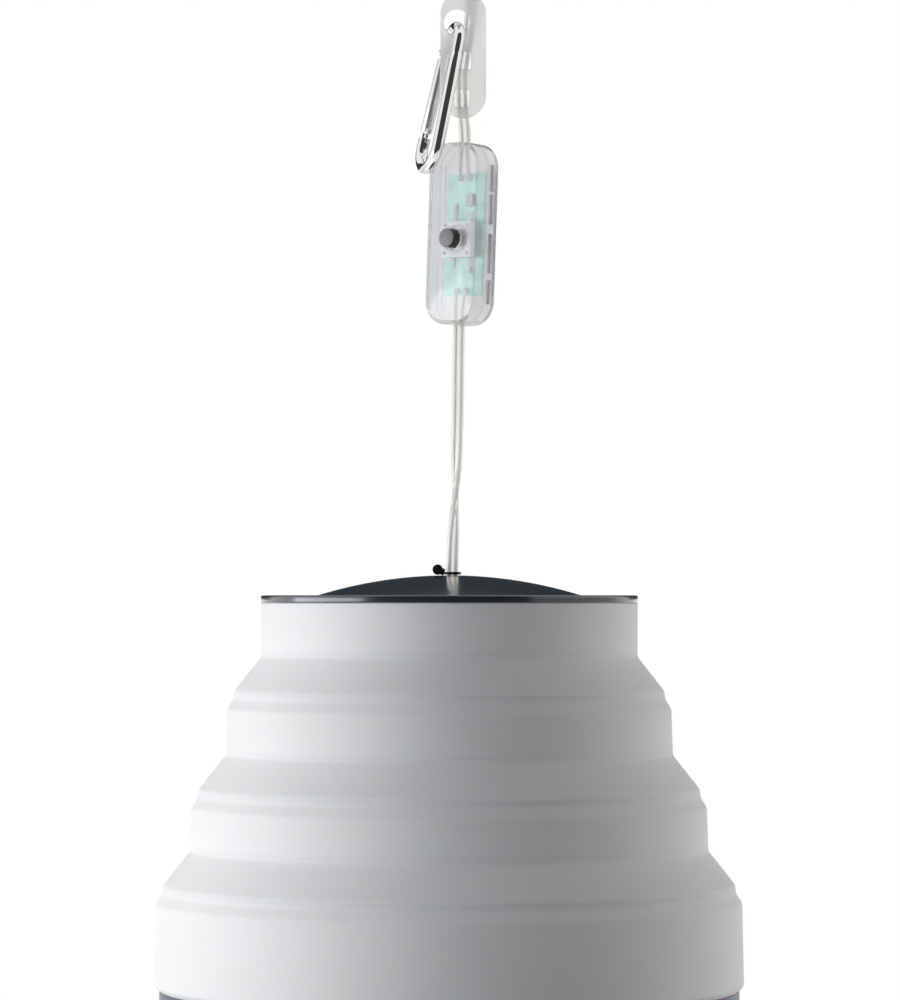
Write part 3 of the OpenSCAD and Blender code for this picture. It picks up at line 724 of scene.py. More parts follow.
def band_section(shade, z, r, low, outside, hem):
    """Half section of a band: its step, its shoulder and its wall down to a crease or a hem."""
    wall, crease = shade.wall / MM, shade.crease / MM
    top, z0 = r + shade.cone_run / MM, z - shade.cone_height / MM
    foot = top + BELOW_FOOT * shade.step_run / shade.step_height
    r1, z1 = top + shade.step_run / MM, z0 - shade.step_height / MM
    r2, z2 = r1 + shade.shoulder_run / MM, z1 - shade.shoulder_height / MM
    section = [(foot, z0 - BELOW_FOOT, 0), (r1, z1, crease), (r2, z2, crease)]
    if hem:
        section += [(outside, low + hem, crease), (outside - hem, low, 0)]
    else:
        low += ABOVE_CREASE
        outside -= FLARE
        section += [(outside, low, 0)]
    section += [(outside - wall, low, 0), (r2 - wall, z2, crease), (r1 - wall, z1, crease)]
    return section + [(foot - wall, z0 - BELOW_FOOT, 0)]


class LANTERN_OT_shade(Operator):
    """Spins the top band, the two middle bands and the skirt"""

    bl_idname = "lantern.shade"
    bl_label = "Shade bands"

    def execute(self, context):
        shade = context.scene.lantern_shade
        z, r = CREASES[0]
        wall, low = shade.wall / MM, z + ABOVE_CREASE
        inner = node_mm("top_cap")[1].x - FLANGE_W
        section = [
            (inner, 0, 0), (r, 0, 0.4), (r - FLARE, low, 0), (r - FLARE - wall, low, 0),
            (r - wall, -FLANGE_T, 0.4), (inner, -FLANGE_T, 0),
        ]
        dress(turned_piece("crown_band", section, SILICONE), "head", "silicone", "shade_top")
        for i, node in enumerate(("band_2", "band_3", "skirt")):
            low, high = node_mm(node)
            hem = shade.hem / MM if node == "skirt" else 0
            section = band_section(shade, *CREASES[i], low.z, high.x, hem)
            band = turned_piece(f"ring_{node}", section, SILICONE)
            dress(band, BODIES[i + 1], "silicone", node)
        return {"FINISHED"}


class LANTERN_OT_folds(Operator):
    """Spins the three folding cones that sit between the bands"""

    bl_idname = "lantern.folds"
    bl_label = "Folding cones"

    def execute(self, context):
        shade = context.scene.lantern_shade
        for i, (z, r) in enumerate(CREASES):
            fold = turned_piece(f"folding_cone_{i + 1}", fold_section(shade, z, r), SILICONE)
            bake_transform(fold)
            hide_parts(f"fold_{i + 1}")
        return {"FINISHED"}


class LANTERN_OT_base_ring(Operator):
    """Spins the slate ring that holds the shade's foot round"""

    bl_idname = "lantern.base_ring"
    bl_label = "Base ring"

    def execute(self, context):
        shade = context.scene.lantern_shade
        low, high = node_mm("base_ring")
        top, foot, out = high.z, low.z, high.x
        seat = node_mm("skirt")[0].z
        inside = node_mm("skirt")[1].x - shade.wall / MM - 0.3
        section = [
            (out, seat, 0.4), (out, foot, 0.9), (out - 3.8, foot, 0.9), (out - 3.8, seat, 0.4),
            (inside - 2, seat + 0.8, 0.3), (inside - 2, top, 0.5), (inside, top, 0.5),
            (inside, seat, 0),
        ]
        ring = turned_piece("slate_ring", section, "slate_plastic")
        dress(ring, "skirt_body", "ring_plastic", "base_ring")
        return {"FINISHED"}


# ---- cap and light ----


class LANTERN_OT_cap(Operator):
    """Spins the glossy domed cap with its hole for the lead"""

    bl_idname = "lantern.cap"
    bl_label = "Cap"

    def execute(self, context):
        cap = context.scene.lantern_cap
        out = node_mm("top_cap")[1].x
        lip, rise, base = cap.lip / MM, cap.dome_rise / MM, cap.dome_radius / MM
        wall, hole = cap.wall / MM, cap.hole / MM
        bend = (base * base + rise * rise) / (2 * rise)
        middle = lip + rise - bend
        rings = 26

        def dome(radius, r):
            return middle + math.sqrt(radius * radius - r * r)

        outer = [hole + (base - hole) * k / rings for k in range(rings + 1)]
        inside = [r for r in reversed(outer) if dome(bend - wall, r) > 0.3]
        section = [(hole, dome(bend, hole), 0.5)] + [(r, dome(bend, r), 0) for r in outer[1:-1]]
        section += [(base, lip, 0.5), (out, lip, 0.7), (out, 0, 0.25), (inside[0] + 1, 0, 0)]
        section += [(r, dome(bend - wall, r), 0) for r in inside]
        shell = turned_piece("domed_cap", section, "gloss_cap_plastic", sharp=30.0)
        dress(shell, "head", "cap_plastic", "top_cap")
        return {"FINISHED"}


class LANTERN_OT_cable_tie(Operator):
    """Models the cable tie that stops the lead above the cap"""

    bl_idname = "lantern.cable_tie"
    bl_label = "Cable tie"

    def execute(self, context):
        cap = context.scene.lantern_cap
        x, z = 1.0, (cap.lip + cap.dome_rise) / MM + 0.7
        bm = bmesh.new()
        strap, wide, deep = 0.85, 4.1, 2.1  # the strap's thickness, and its bore round the lead
        outline = oblong_outline(wide + 2 * strap, deep + 2 * strap, 1.9, 6)
        plate(bm, outline, -strap / 2, strap / 2, 0.2, 2)
        rod(bm, (-2.65, 0, 0.25), (-4.8, 0, 1.15), 1.15, 20, 0.3)
        rod(bm, (-4.9, -1.35, 1.2), (-4.9, 1.35, 1.2), 1.75, 28, 0.35)
        rod(bm, (-4.9, -1.45, 1.2), (-4.9, -1.25, 1.2), 0.9, 20, 0.08)
        placed(bm, (x, 0, z))
        tie = new_piece(bm, "cable_stop", "black_nylon")
        cut = bmesh.new()
        plate(cut, oblong_outline(wide, deep, 1.0, 6), -2, 2)
        placed(cut, (x, 0, z))
        carved(tie, cut)
        dress(tie, "head", "black_nylon", "cable_tie")
        return {"FINISHED"}


class LANTERN_OT_light(Operator):
    """Spins the diffuser, models the screws and finishes the plate and the LED board"""

    bl_idname = "lantern.light"
    bl_label = "Light"

    def execute(self, context):
        low, high = node_mm("diffuser")
        r, top, deep = high.x, high.z, high.z - low.z
        wall = 1.5
        crown = []
        for angle in range(90, -1, -6):
            a = math.radians(angle)
            crown.append((r * 0.97 * math.sin(a), top - deep * (0.42 + 0.58 * math.cos(a))))
        section = [(r, top, 0), (r, top - 0.25 * deep, 0.6)] + [(x, z, 0) for x, z in crown]
        section.append((0.0, crown[-1][1] + wall, 0))
        section += [(x - wall, z + wall, 0) for x, z in reversed(crown) if x > wall + 0.1]
        section.append((r - wall, top, 0))
        diffuser = turned_piece("frosted_dome", section, "frosted_diffuser")
        dress(diffuser, "head", "diffuser_plastic", "diffuser")

        bm, cut = bmesh.new(), bmesh.new()
        low, high = node_mm("plate_screws")
        head_r = 2.62
        circle_r = high.y - head_r
        under = node_mm("inner_plate")[0].z
        for angle in (90, 210, 330):
            x, y = [circle_r * turn(math.radians(angle)) for turn in (math.cos, math.sin)]
            rod(bm, (x, y, low.z), (x, y, under), head_r, 32, 0.5)
            rod(bm, (x, y, under), (x, y, high.z), 1.2, 20)
            block(cut, (x, y, low.z), (2.7, 0.55, 1.6))
            block(cut, (x, y, low.z), (0.55, 2.7, 1.601))
        placed(bm)
        placed(cut)
        screws = carved(new_piece(bm, "cross_screws", "screw_steel"), cut)
        dress(screws, "head", "screw_steel", "plate_screws")
        finish_node("inner_plate", "white_plastic")
        finish_node("led_board", "board_white")
        finish_node("leds", "led_phosphor")
        return {"FINISHED"}


def unshadowed(piece):
    """Lets the lamps' light through a clear or thin piece to what lies behind it."""
    piece.visible_shadow = False


def finish_node(name, material):
    """Gives a CAD node that stays its finished material."""
    mesh = NODES[name].data
    mesh.materials.clear()
    mesh.materials.append(MATERIALS[material])


# ---- in-line switch ----

BOX_PLACE = (4.2, 0.0, 123.05)
BOX_LEAN, BOX_TURN = 1.9, -38.5
BUTTON_Z = -1.8
BOARD_Y, BOARD_T = 1.2, 1.2
UPRIGHT = Matrix.Rotation(math.radians(90), 4, "X")  # stands a plate drawn in XY up in XZ
CORNERS = [(x, z) for x in (-1, 1) for z in (-1, 1)]
PAD_X, PAD_Z = 1.9, 18.9  # the four pads for the lead's cores


def frame_at(place, *turns):
    """Where a piece drawn in its own millimetres stands, from its turns in degrees."""
    matrix = Matrix.Translation(at(*place))
    for angle, axis in turns:
        matrix = matrix @ Matrix.Rotation(math.radians(angle), 4, axis)
    return matrix @ Matrix.Scale(MM, 4)


BOX_FRAME = frame_at(BOX_PLACE, (BOX_LEAN, "Y"), (BOX_TURN, "Z"))


def boxed(bm, name, *materials, sharp=40.0):
    """Finishes a piece drawn in the box's own millimetres."""
    bm.transform(BOX_FRAME)
    return new_piece(bm, name, *materials, sharp=sharp)


def shell(switch, front):
    """Half of the clear box: a tray with softly bevelled rims."""
    w, d, h = switch.width / MM, switch.depth / MM, switch.height / MM
    corner, wall = switch.corner / MM, switch.wall / MM
    bm = bmesh.new()
    face = bm.faces.new([bm.verts.new((x, 0, z)) for x, z in oblong_outline(w, h, corner, 12)])
    side = -1 if front else 1
    new = bmesh.ops.extrude_face_region(bm, geom=[face], use_keep_orig=False)["geom"]
    far = [g for g in new if isinstance(g, bmesh.types.BMVert)]
    bmesh.ops.translate(bm, vec=(0, side * d / 2, 0), verts=far)
    rim = [e for e in bm.edges if all(abs(abs(v.co.y) - d / 2) < 1e-6 for v in e.verts)]
    bevelled(bm, rim, 1.25, 5)
    # the open parting face
    shut = [f for f in bm.faces if all(abs(v.co.y) < 1e-6 for v in f.verts)]
    bmesh.ops.delete(bm, geom=shut, context="FACES_ONLY")
    outward(bm)
    if sum(f.normal.dot(f.calc_center_median()) for f in bm.faces) < 0:
        bmesh.ops.reverse_faces(bm, faces=bm.faces)
    bmesh.ops.solidify(bm, geom=bm.faces[:], thickness=wall)
    bmesh.ops.remove_doubles(bm, verts=bm.verts, dist=1e-5)
    return bm


class LANTERN_OT_switch_shells(Operator):
    """Models the two clear shells of the in-line switch"""

    bl_idname = "lantern.switch_shells"
    bl_label = "Switch shells"

    def execute(self, context):
        switch, lead = context.scene.lantern_switch, context.scene.lantern_lead
        w, d, h = switch.width / MM, switch.depth / MM, switch.height / MM
        port = [size / MM + 0.3 for size in (lead.width, lead.thickness)]
        straight = Matrix.Rotation(math.radians(-BOX_TURN), 3, "Z")
        for name, node in (("clear_front", "switch_front"), ("clear_back", "switch_back")):
            front = node == "switch_front"
            piece = boxed(shell(switch, front), name, "clear_plastic", sharp=50)
            cut = bmesh.new()
            for z in (-1, 1):
                hole = block(cut, (0, 0, 0), (*port, 5))
                bmesh.ops.rotate(cut, cent=(0, 0, 0), matrix=straight, verts=hole)
                bmesh.ops.translate(cut, vec=(0, 0, z * h / 2), verts=hole)
            if front:
                rod(cut, (0, -d / 2 - 1, BUTTON_Z), (0, -d / 2 + 2.2, BUTTON_Z), 3.95, 48)
            carved(piece, cut, BOX_FRAME)
            # a row of grip slots down each side of the back; the right row's cut faces get a
            # darker grey, painted shade on the side away from the key lamp
            for x, floor in () if front else ((-1, None), (1, "slot_painted_shade")):
                cut = bmesh.new()
                for z, tall in ((18.6, 9), (8.2, 10), (-6.5, 13), (-19.4, 8)):
                    block(cut, (x * w / 2, 0.38 * d / 2, z), (1.4, 1.9, tall))
                carved(piece, cut, BOX_FRAME, floor)
            unshadowed(piece)
            dress(piece, "head", "clear_plastic", node)
        return {"FINISHED"}


class LANTERN_OT_switch_inside(Operator):
    """Models the circuit board, its parts, the tact switch and the button"""

    bl_idname = "lantern.switch_inside"
    bl_label = "Switch inside"

    def execute(self, context):
        bm = bmesh.new()
        back = BOARD_Y + BOARD_T
        plate(bm, oblong_outline(15.4, 41.0, 1.0, 4), -back, -BOARD_Y, 0.08, 1)
        bm.transform(UPRIGHT)
        for x, z in CORNERS:
            rod(bm, (x * 5, back, z * 15), (x * 5, 4.45, z * 15), 1.0, 20)
        dress(boxed(bm, "circuit_board", "board_green"), "head", "circuit_board", "switch_board")

        bm = bmesh.new()
        block(bm, (2.6, BOARD_Y - 0.5, 11.5), (2.6, 1.0, 3.6), 0.12)
        for x, z in ((-3.4, 9), (3.6, -12)):
            block(bm, (x, BOARD_Y - 0.35, z), (1.2, 0.7, 2.0), 0.1)
        dress(boxed(bm, "board_chips", "part_grey"), "head", "solder", "board_parts")

        bm = bmesh.new()
        for x, z in CORNERS:
            ball(bm, (x * PAD_X, BOARD_Y - 0.1, z * PAD_Z), 1.15)
            # the tact switch's legs, bent onto the board
            block(bm, (x * 3.6, BOARD_Y - 0.25, BUTTON_Z + z * 7.6), (1.3, 0.4, 3.6), 0.1)
        for x, ends in ((2.6, (13.6, 9.4)), (-3.4, (10.2, 7.8)), (3.6, (-10.8, -13.2))):
            for z in ends:
                block(bm, (x, BOARD_Y - 0.2, z), (1.3, 0.4, 0.5), 0.08)
        dress(boxed(bm, "solder_joints", "solder"), "head", "solder")
        self.tails(context.scene.lantern_lead)

        bm = bmesh.new()
        block(bm, (0, BOARD_Y - 2.0, BUTTON_Z), (12.0, 4.0, 12.0), 0.35)
        tact = boxed(bm, "tact_body", "switch_white")
        cut = bmesh.new()
        rod(cut, (0, BOARD_Y - 5, BUTTON_Z), (0, BOARD_Y - 2.0, BUTTON_Z), 3.2, 48)
        carved(tact, cut, BOX_FRAME)
        dress(tact, "head", "white_plastic", "tact_switch")

        # a raised collar and four rivets on the tact switch's face
        bm = bmesh.new()
        collar = [(3.9, -3.15, 0), (4.6, -3.15, 0), (4.6, -2.75, 0), (3.9, -2.75, 0)]
        spun(bm, collar, (0, 1, 0), 48)
        bmesh.ops.translate(bm, vec=(0, 0, BUTTON_Z), verts=bm.verts)
        for x, z in CORNERS:
            ball(bm, (x * 4.7, -2.8, BUTTON_Z + z * 4.7), 0.6, 12)
        dress(boxed(bm, "tact_trim", "solder"), "head", "solder")

        bm = bmesh.new()
        front = -context.scene.lantern_switch.depth / MM / 2 - 2.65
        rod(bm, (0, front, BUTTON_Z), (0, -1.8, BUTTON_Z), 3.15, 48, 0.35)
        # the front face takes the lighter grey, a painted sheen
        for face in bm.faces:
            if face.calc_center_median().y < front + 0.3 and abs(face.normal.y) > 0.6:
                face.material_index = 1
        button = boxed(bm, "round_button", "button_black", "button_face_painted_sheen")
        dress(button, "button", "button_plastic", "push_button")
        return {"FINISHED"}

    def tails(self, lead):
        """The two cores of each lead end, parted and soldered to the board."""
        bm = bmesh.new()
        middle = (lead.width / 2 - lead.thickness / 2) / MM
        into_box = BOX_FRAME.inverted()
        for (x, _, z), up in ((UPPER_ROUTE[0], 1), (LOWER_ROUTE[-1], -1)):
            for side in (-1, 1):
                start = into_box @ at(x + side * middle, 0, z)
                pad = Vector((side * PAD_X, BOARD_Y - 0.6, up * PAD_Z))
                knee = Vector((side * 1.7, BOARD_Y - 0.9, up * 21.4))
                between = start.lerp(knee, 0.5) + Vector((0, 0, up * 0.4))
                line = smooth_line([start, between, knee, pad])
                frames = frames_along(line, across=Vector((1, 0, 0)))
                sweep(bm, circle(lead.core / MM, 10), frames, 1)
                sweep(bm, circle(0.95, 16), frames[:-5])
        tails = boxed(bm, "lead_tails", "clear_jacket", "tinned_strands")
        unshadowed(tails)
        dress(tails, "head", "clear_lead")


# ---- hanger tab and snap hook ----

TAB_MIDDLE = (4.6, 0.0, 183.15)
HOLE = (2.5, 194.05)
HOLE_R = 4.4
TAB_SLOTS = ((4.25, 168.6), (4.85, 181.1))
HOOK_PLACE = (2.3, 0.0, 192.422)
HOOK_LEAN, HOOK_TURN = 11.81, 21.0
LINE_H, SMALL_R, LARGE_R = 48.3, 5.2, 7.5
PIVOT, GATE_FOOT, NOSE_TOP, DIMPLE = 3.4, 31.5, 33.2, 35.6  # places down the gate's line
STEEL = "polished_steel"
GATE_LINE = LINE_H - SMALL_R - LARGE_R
GATE_SLANT = 2 * math.atan((LARGE_R - SMALL_R) / GATE_LINE)


class LANTERN_OT_tab(Operator):
    """Models the milky hanger tab with its round hole and the two slots for the lead"""

    bl_idname = "lantern.tab"
    bl_label = "Hanger tab"

    def execute(self, context):
        low, high = node_mm("hanger_tab")
        w, h, t = high.x - low.x, high.z - low.z, high.y - low.y
        bm = bmesh.new()
        plate(bm, oblong_outline(w, h, w / 2 - 0.01, 18), -t / 2, t / 2, 0.45, 4)
        bm.transform(UPRIGHT)
        placed(bm, TAB_MIDDLE)
        tab = new_piece(bm, "milky_tab", "milky_plastic", sharp=50)
        cut = bmesh.new()
        rod(cut, (HOLE[0], -3, HOLE[1]), (HOLE[0], 3, HOLE[1]), HOLE_R, 64)
        placed(cut)
        carved(tab, cut)
        cut = bmesh.new()
        for x, z in TAB_SLOTS:
            slot = plate(cut, oblong_outline(4.6, 6.0, 0.8, 4), -3, 3)
            bmesh.ops.rotate(cut, cent=(0, 0, 0), matrix=UPRIGHT.to_3x3(), verts=slot)
            bmesh.ops.translate(cut, vec=(x, 0, z), verts=slot)
        placed(cut)
        carved(tab, cut)
        dress(tab, "head", "milky_plastic", "hanger_tab")
        return {"FINISHED"}


def gate_line_point(place):
    """A point down the gate's line, in the hook's own millimetres."""
    y = SMALL_R * math.cos(GATE_SLANT) + place * math.sin(GATE_SLANT)
    z = SMALL_R * math.sin(GATE_SLANT) - SMALL_R - place * math.cos(GATE_SLANT)
    return Vector((0, y, z))


HOOK_FRAME = frame_at(HOOK_PLACE, (HOOK_TURN, "Z"), (HOOK_LEAN, "Y"))
# Runs down the gate's line: X out of the hook's plane, Y outwards, Z up from the line's top
GATE_FRAME = (
    HOOK_FRAME @ Matrix.Translation(gate_line_point(0)) @ Matrix.Rotation(GATE_SLANT, 4, "X")
)


def arc(centre, radius, start, end, count):
    return [
        Vector((0, centre[0] + radius * math.cos(a), centre[1] + radius * math.sin(a)))
        for a in (start + (end - start) * k / count for k in range(count + 1))
    ]


class LANTERN_OT_hook(Operator):
    """Bends the snap hook's wire, models its gate and pivot pin, and finishes its spring"""

    bl_idname = "lantern.hook"
    bl_label = "Snap hook"

    def execute(self, context):
        radius = context.scene.lantern_hook.wire / MM / 2
        neck = 0.88
        small = arc((0, -SMALL_R), SMALL_R, GATE_SLANT, math.pi, 32)
        straight = [Vector((0, -SMALL_R, z)) for z in (-7.0, -9.0, -9.55, -9.95, -20.0, -30.0)]
        middle = (LARGE_R - SMALL_R, LARGE_R - LINE_H)
        large = arc(middle, LARGE_R, math.pi, TURN + GATE_SLANT, 44)
        route = [gate_line_point(5.0)] + small + straight + large + [gate_line_point(NOSE_TOP)]
        shoulder = 1 + len(small) + 3  # the wire is drawn thinner up to here

        bm = bmesh.new()
        frames = frames_along(route, across=Vector((1, 0, 0)))
        sweep(bm, circle(radius, 32), frames, girth=lambda i: neck if i < shoulder else 1.0)
        bm.transform(HOOK_FRAME)
        body = new_piece(bm, "hook_wire", STEEL, sharp=35)
        cut = bmesh.new()
        block(cut, (0, 0, -5.2), (1.7, 6, 7.2))
        rod(cut, (-4, 0, -PIVOT), (4, 0, -PIVOT), 0.8, 24)
        rod(cut, (0, -3, -DIMPLE), (0, -1.5, -DIMPLE), 1.15, 32)
        carved(body, cut, GATE_FRAME)
        dress(body, "snap_hook", STEEL, "hook_body")
        unshadowed(body)

        bm = bmesh.new()
        tall = NOSE_TOP - GATE_FOOT
        block(bm, (0, 0, -(GATE_FOOT + NOSE_TOP) / 2 - 0.1), (1.2, 3.2, tall), 0.15)
        self.small_part(bm, "nose_tongue", "snap_hook")

        bm = bmesh.new()
        rod(bm, (0, 0, -GATE_FOOT), (0, 0, -6.0), radius, 40, 0.7)
        bm.transform(GATE_FRAME)
        gate = new_piece(bm, "hook_latch", "satin_steel", sharp=35)
        cut = bmesh.new()
        block(cut, (0, 0, -GATE_FOOT + 0.35), (1.6, 6, 2.7))
        carved(gate, cut, GATE_FRAME)
        dress(gate, "gate", STEEL, "hook_gate")
        unshadowed(gate)

        bm = bmesh.new()
        rod(bm, (-0.75, 0, -PIVOT), (0.75, 0, -PIVOT), 1.7, 32, 0.12)
        block(bm, (0, 0, -5.0), (1.5, 3.4, 3.2), 0.12)
        self.small_part(bm, "latch_knuckle", "gate")
        bm = bmesh.new()
        rod(bm, (-radius - 0.05, 0, -PIVOT), (radius + 0.05, 0, -PIVOT), 0.78, 24, 0.15)
        self.small_part(bm, "latch_pin", "snap_hook", "gate_pin")
        finish_node("gate_spring", "screw_steel")
        return {"FINISHED"}

    def small_part(self, bm, name, body, *nodes):
        """Finishes a small steel part drawn on the gate's line."""
        bm.transform(GATE_FRAME)
        dress(new_piece(bm, name, STEEL), body, STEEL, *nodes)


# ---- lead, hank and plug ----

LOWER_ROUTE = [
    (0.9, 0, -4.4), (0.9, 0, 0), (0.9, 0, 5), (1, 0, 10), (1.2, 0, 18), (1.6, 0, 27), (2, 0, 36),
    (2.4, 0, 45), (2.6, 0, 54), (2.8, 0, 63), (2.9, 0, 72), (3, 0, 81), (3.1, 0, 87),
    (3.2, 0, 92.6), (3.3, 0, 95.5),
]
UPPER_ROUTE = [
    (5.1, 0, 150.5), (5.2, 0, 153.4), (5.2, 0.5, 156.4), (5, 1.4, 159.4), (4.7, 2, 162.2),
    (4.4, 1.45, 165.4), (4.3, 0.55, 167.5), (4.2, -0.5, 169.5), (4.1, -1.45, 171.6),
    (4, -2.05, 174.7), (4.3, -1.45, 177.9), (4.6, -0.5, 180), (4.9, 0.5, 182),
    (5.3, 1.45, 184.1), (5.9, 2.05, 187.3), (6.6, 2.2, 192), (7.1, 2.4, 197), (7.3, 3, 202),
    (7.4, 4, 207), (7.4, 5, 212),
]
HANK_Z, HANK_RUN, HANK_PINCH = 256.1, 52.0, 9.0
# Radius of the end loops and depth of each turn of the hank, as it is wound
HANK_TURNS = [(16, 4.8), (12, 4.8), (12, 2.4), (16, 2.4), (16, 0.0), (12, 0.0), (12, -2.4)]
PLUG_ROUTE = [
    (-3, -4.6, 261.1), (-3, -4.6, 256.1), (-3, -4.8, 252.1), (-3, -6.08, 248.9),
    (-3, -7.4, 246.4), (-3, -7.55, 244.6), (-3, -7.55, 242.5),
]
PLUG = (-3.0, -7.55, 242.5)


def ease(t):
    t = min(1.0, max(0.0, t))
    return t * t * (3 - 2 * t)


def hank_point(radius, y, along):
    """A point of one turn of the hank, from 0 at its lowest point, up its right side."""
    half_loop = math.pi * 16 / 2
    lap = 2 * HANK_RUN + 4 * half_loop
    s = (along % 1.0) * lap
    top, bottom = HANK_Z + HANK_RUN / 2, HANK_Z - HANK_RUN / 2

    def side(z, sign):
        pinch = HANK_PINCH * (1 + math.cos(TURN * (z - HANK_Z) / HANK_RUN)) / 2
        return Vector((sign * (radius - pinch), y, z))

    def loop(middle, a):
        return Vector((radius * math.cos(a), y, middle + radius * math.sin(a)))

    if s < half_loop:
        return loop(bottom, -math.pi / 2 + math.pi / 2 * s / half_loop)
    s -= half_loop
    if s < HANK_RUN:
        return side(bottom + s, 1)
    s -= HANK_RUN
    if s < 2 * half_loop:
        return loop(top, math.pi / 2 * s / half_loop)
    s -= 2 * half_loop
    if s < HANK_RUN:
        return side(top - s, -1)
    s -= HANK_RUN
    return loop(bottom, math.pi + math.pi / 2 * s / half_loop)


def hank_route():
    """The whole run from the switch through the tab and the hank to the plug."""
    points = [Vector(p) for p in UPPER_ROUTE]
    per_turn = 48
    start = 0.105  # where the lead joins the first turn, on its lower right
    end = 6.66  # where it leaves the last one, above the tie on the left
    for k in range(int(start * per_turn) + 1, int(end * per_turn) + 1):
        along = k / per_turn
        turn = int(along)
        here, there = HANK_TURNS[turn], HANK_TURNS[min(turn + 1, len(HANK_TURNS) - 1)]
        # each turn moves over to the next one round its bottom loop
        share = ease((along - turn - 0.80) / 0.2) if turn < len(HANK_TURNS) - 1 else 0.0
        radius = here[0] + (there[0] - here[0]) * share
        y = here[1] + (there[1] - here[1]) * share
        points.append(hank_point(radius, y, along))
    return points + [Vector(p) for p in PLUG_ROUTE]


def twin_section(lead):
    """Outline of the jacket: two round cores side by side with a web between them."""
    half, thick = lead.width / 2, lead.thickness / 2
    right = []
    for angle in range(-130, 131, 26):
        a = math.radians(angle)
        right.append((half - thick + thick * math.cos(a), thick * math.sin(a)))
    return right + [(0, 0.60 * thick)] + [(-x, -y) for x, y in right] + [(0, -0.60 * thick)]


def lead_piece(name, points, lead, pieces, twist=None):
    """A clear twin lead with its two cores of strands, along a route in millimetres."""
    line = [at(*p) for p in smooth_line(points, pieces)]
    frames = frames_along(line, twist=twist)
    bm = bmesh.new()
    sweep(bm, twin_section(lead), frames)
    middle = lead.width / 2 - lead.thickness / 2
    for x in (-middle, middle):
        sweep(bm, circle(lead.core, 10, x), frames, 1)
    piece = new_piece(bm, name, "clear_jacket", "tinned_strands", sharp=70)
    unshadowed(piece)
    dress(piece, "head", "clear_lead")
    return piece, line


class LANTERN_OT_lead(Operator):
    """Sweeps the clear twin lead below and above the switch, with its tied hank"""

    bl_idname = "lantern.lead"
    bl_label = "Lead and hank"

    def execute(self, context):
        lead = context.scene.lantern_lead

        def half_twist(t):
            return math.pi * ease((t - 0.22) / 0.42)

        piece, line = lead_piece("lower_lead", LOWER_ROUTE, lead, 5, half_twist)
        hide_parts("lower_cord")
        piece, line = lead_piece("upper_lead", hank_route(), lead, 2)
        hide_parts("upper_cord", "cord_hank", "plug_lead")
        return {"FINISHED"}


class LANTERN_OT_tie(Operator):
    """Models the webbing tie round the waist of the hank"""

    bl_idname = "lantern.tie"
    bl_label = "Hank tie"

    def execute(self, context):
        low, high = node_mm("hank_tie")
        w, d = high.x - low.x, high.y - low.y
        x, y = (high.x + low.x) / 2, (high.y + low.y) / 2
        loop = 2.3  # twice the webbing's thickness
        outside, inside = [
            [(x + px, y + py) for px, py in oblong_outline(w - less, d - less, corner, 8)]
            for less, corner in ((0, 2.6), (loop, 1.8))
        ]
        bm, cut = bmesh.new(), bmesh.new()
        plate(bm, outside, low.z, high.z, 0.35, 2)
        placed(bm)
        plate(cut, inside, low.z - 1, high.z + 1)
        placed(cut)
        tie = carved(new_piece(bm, "webbing_tie", "tie_webbing"), cut)
        dress(tie, "head", "tie_webbing", "hank_tie")
        return {"FINISHED"}


class LANTERN_OT_plug(Operator):
    """Models the grip of the plug and its contacts, and finishes its shell and tongue"""

    bl_idname = "lantern.plug"
    bl_label = "Plug"

    def execute(self, context):
        bm, cut = bmesh.new(), bmesh.new()
        plate(bm, oblong_outline(15.0, 7.6, 2.2, 8), -19.0, 0.0, 0.8, 3)
        # the strain relief narrows in three steps towards the lead
        steps = ((9.6, 5.6, -0.2, 1.1), (8.2, 4.9, 1.0, 2.0), (7.0, 4.3, 1.9, 3.0))
        for w, d, low, high in steps:
            plate(bm, oblong_outline(w, d, 1.9, 8), low, high, 0.25, 2)
        placed(bm, PLUG)
        for x in (-7.6, 7.6):
            for z in (-6.0, -8.4, -10.8, -13.2):
                rod(cut, (x, -5, z), (x, 5, z), 0.55, 16)
        placed(cut, PLUG)
        grip = carved(new_piece(bm, "plug_grip", "white_plastic"), cut)
        dress(grip, "head", "white_plastic", "plug_body")
        low, high = node_mm("plug_tongue")
        bm = bmesh.new()
        for x in (-3.4, -1.15, 1.15, 3.4):
            centre = ((low.x + high.x) / 2 + x, low.y - 0.02, (low.z + high.z) / 2)
            block(bm, centre, (1.1, 0.12, 9.0), 0.03)
        placed(bm)
        dress(new_piece(bm, "plug_contacts", "contact_gold"), "head", "solder")
        for name, material in (("plug_shell", "screw_steel"), ("plug_tongue", "white_plastic")):
            finish_node(name, material)
            NODES[name].data.set_sharp_from_angle(angle=math.radians(30))
        return {"FINISHED"}


# ---- stage ----


def card(name, centre, size, target, tone, glow, tint=(1.0, 1.0, 1.0), material=None):
    """A flat card that only what is near it reflects."""
    shaded(
        material, Base_Color=rgba((tone,) * 3), Roughness=1.0, Specular_IOR_Level=0.0,
        Emission_Color=rgba(tint), Emission_Strength=glow,
    )
    bm = bmesh.new()
    bmesh.ops.create_grid(bm, x_segments=1, y_segments=1, size=0.5)
    bmesh.ops.scale(bm, vec=(size[0], size[1], 1), verts=bm.verts)
    centre = Vector(centre)
    turn = (Vector(target) - centre).to_track_quat("Z", "Y").to_matrix().to_4x4()
    bm.transform(Matrix.Translation(centre) @ turn)
    piece = new_piece(bm, name, material)
    for ray in ("camera", "diffuse", "transmission", "volume_scatter", "shadow"):
        setattr(piece, f"visible_{ray}", False)


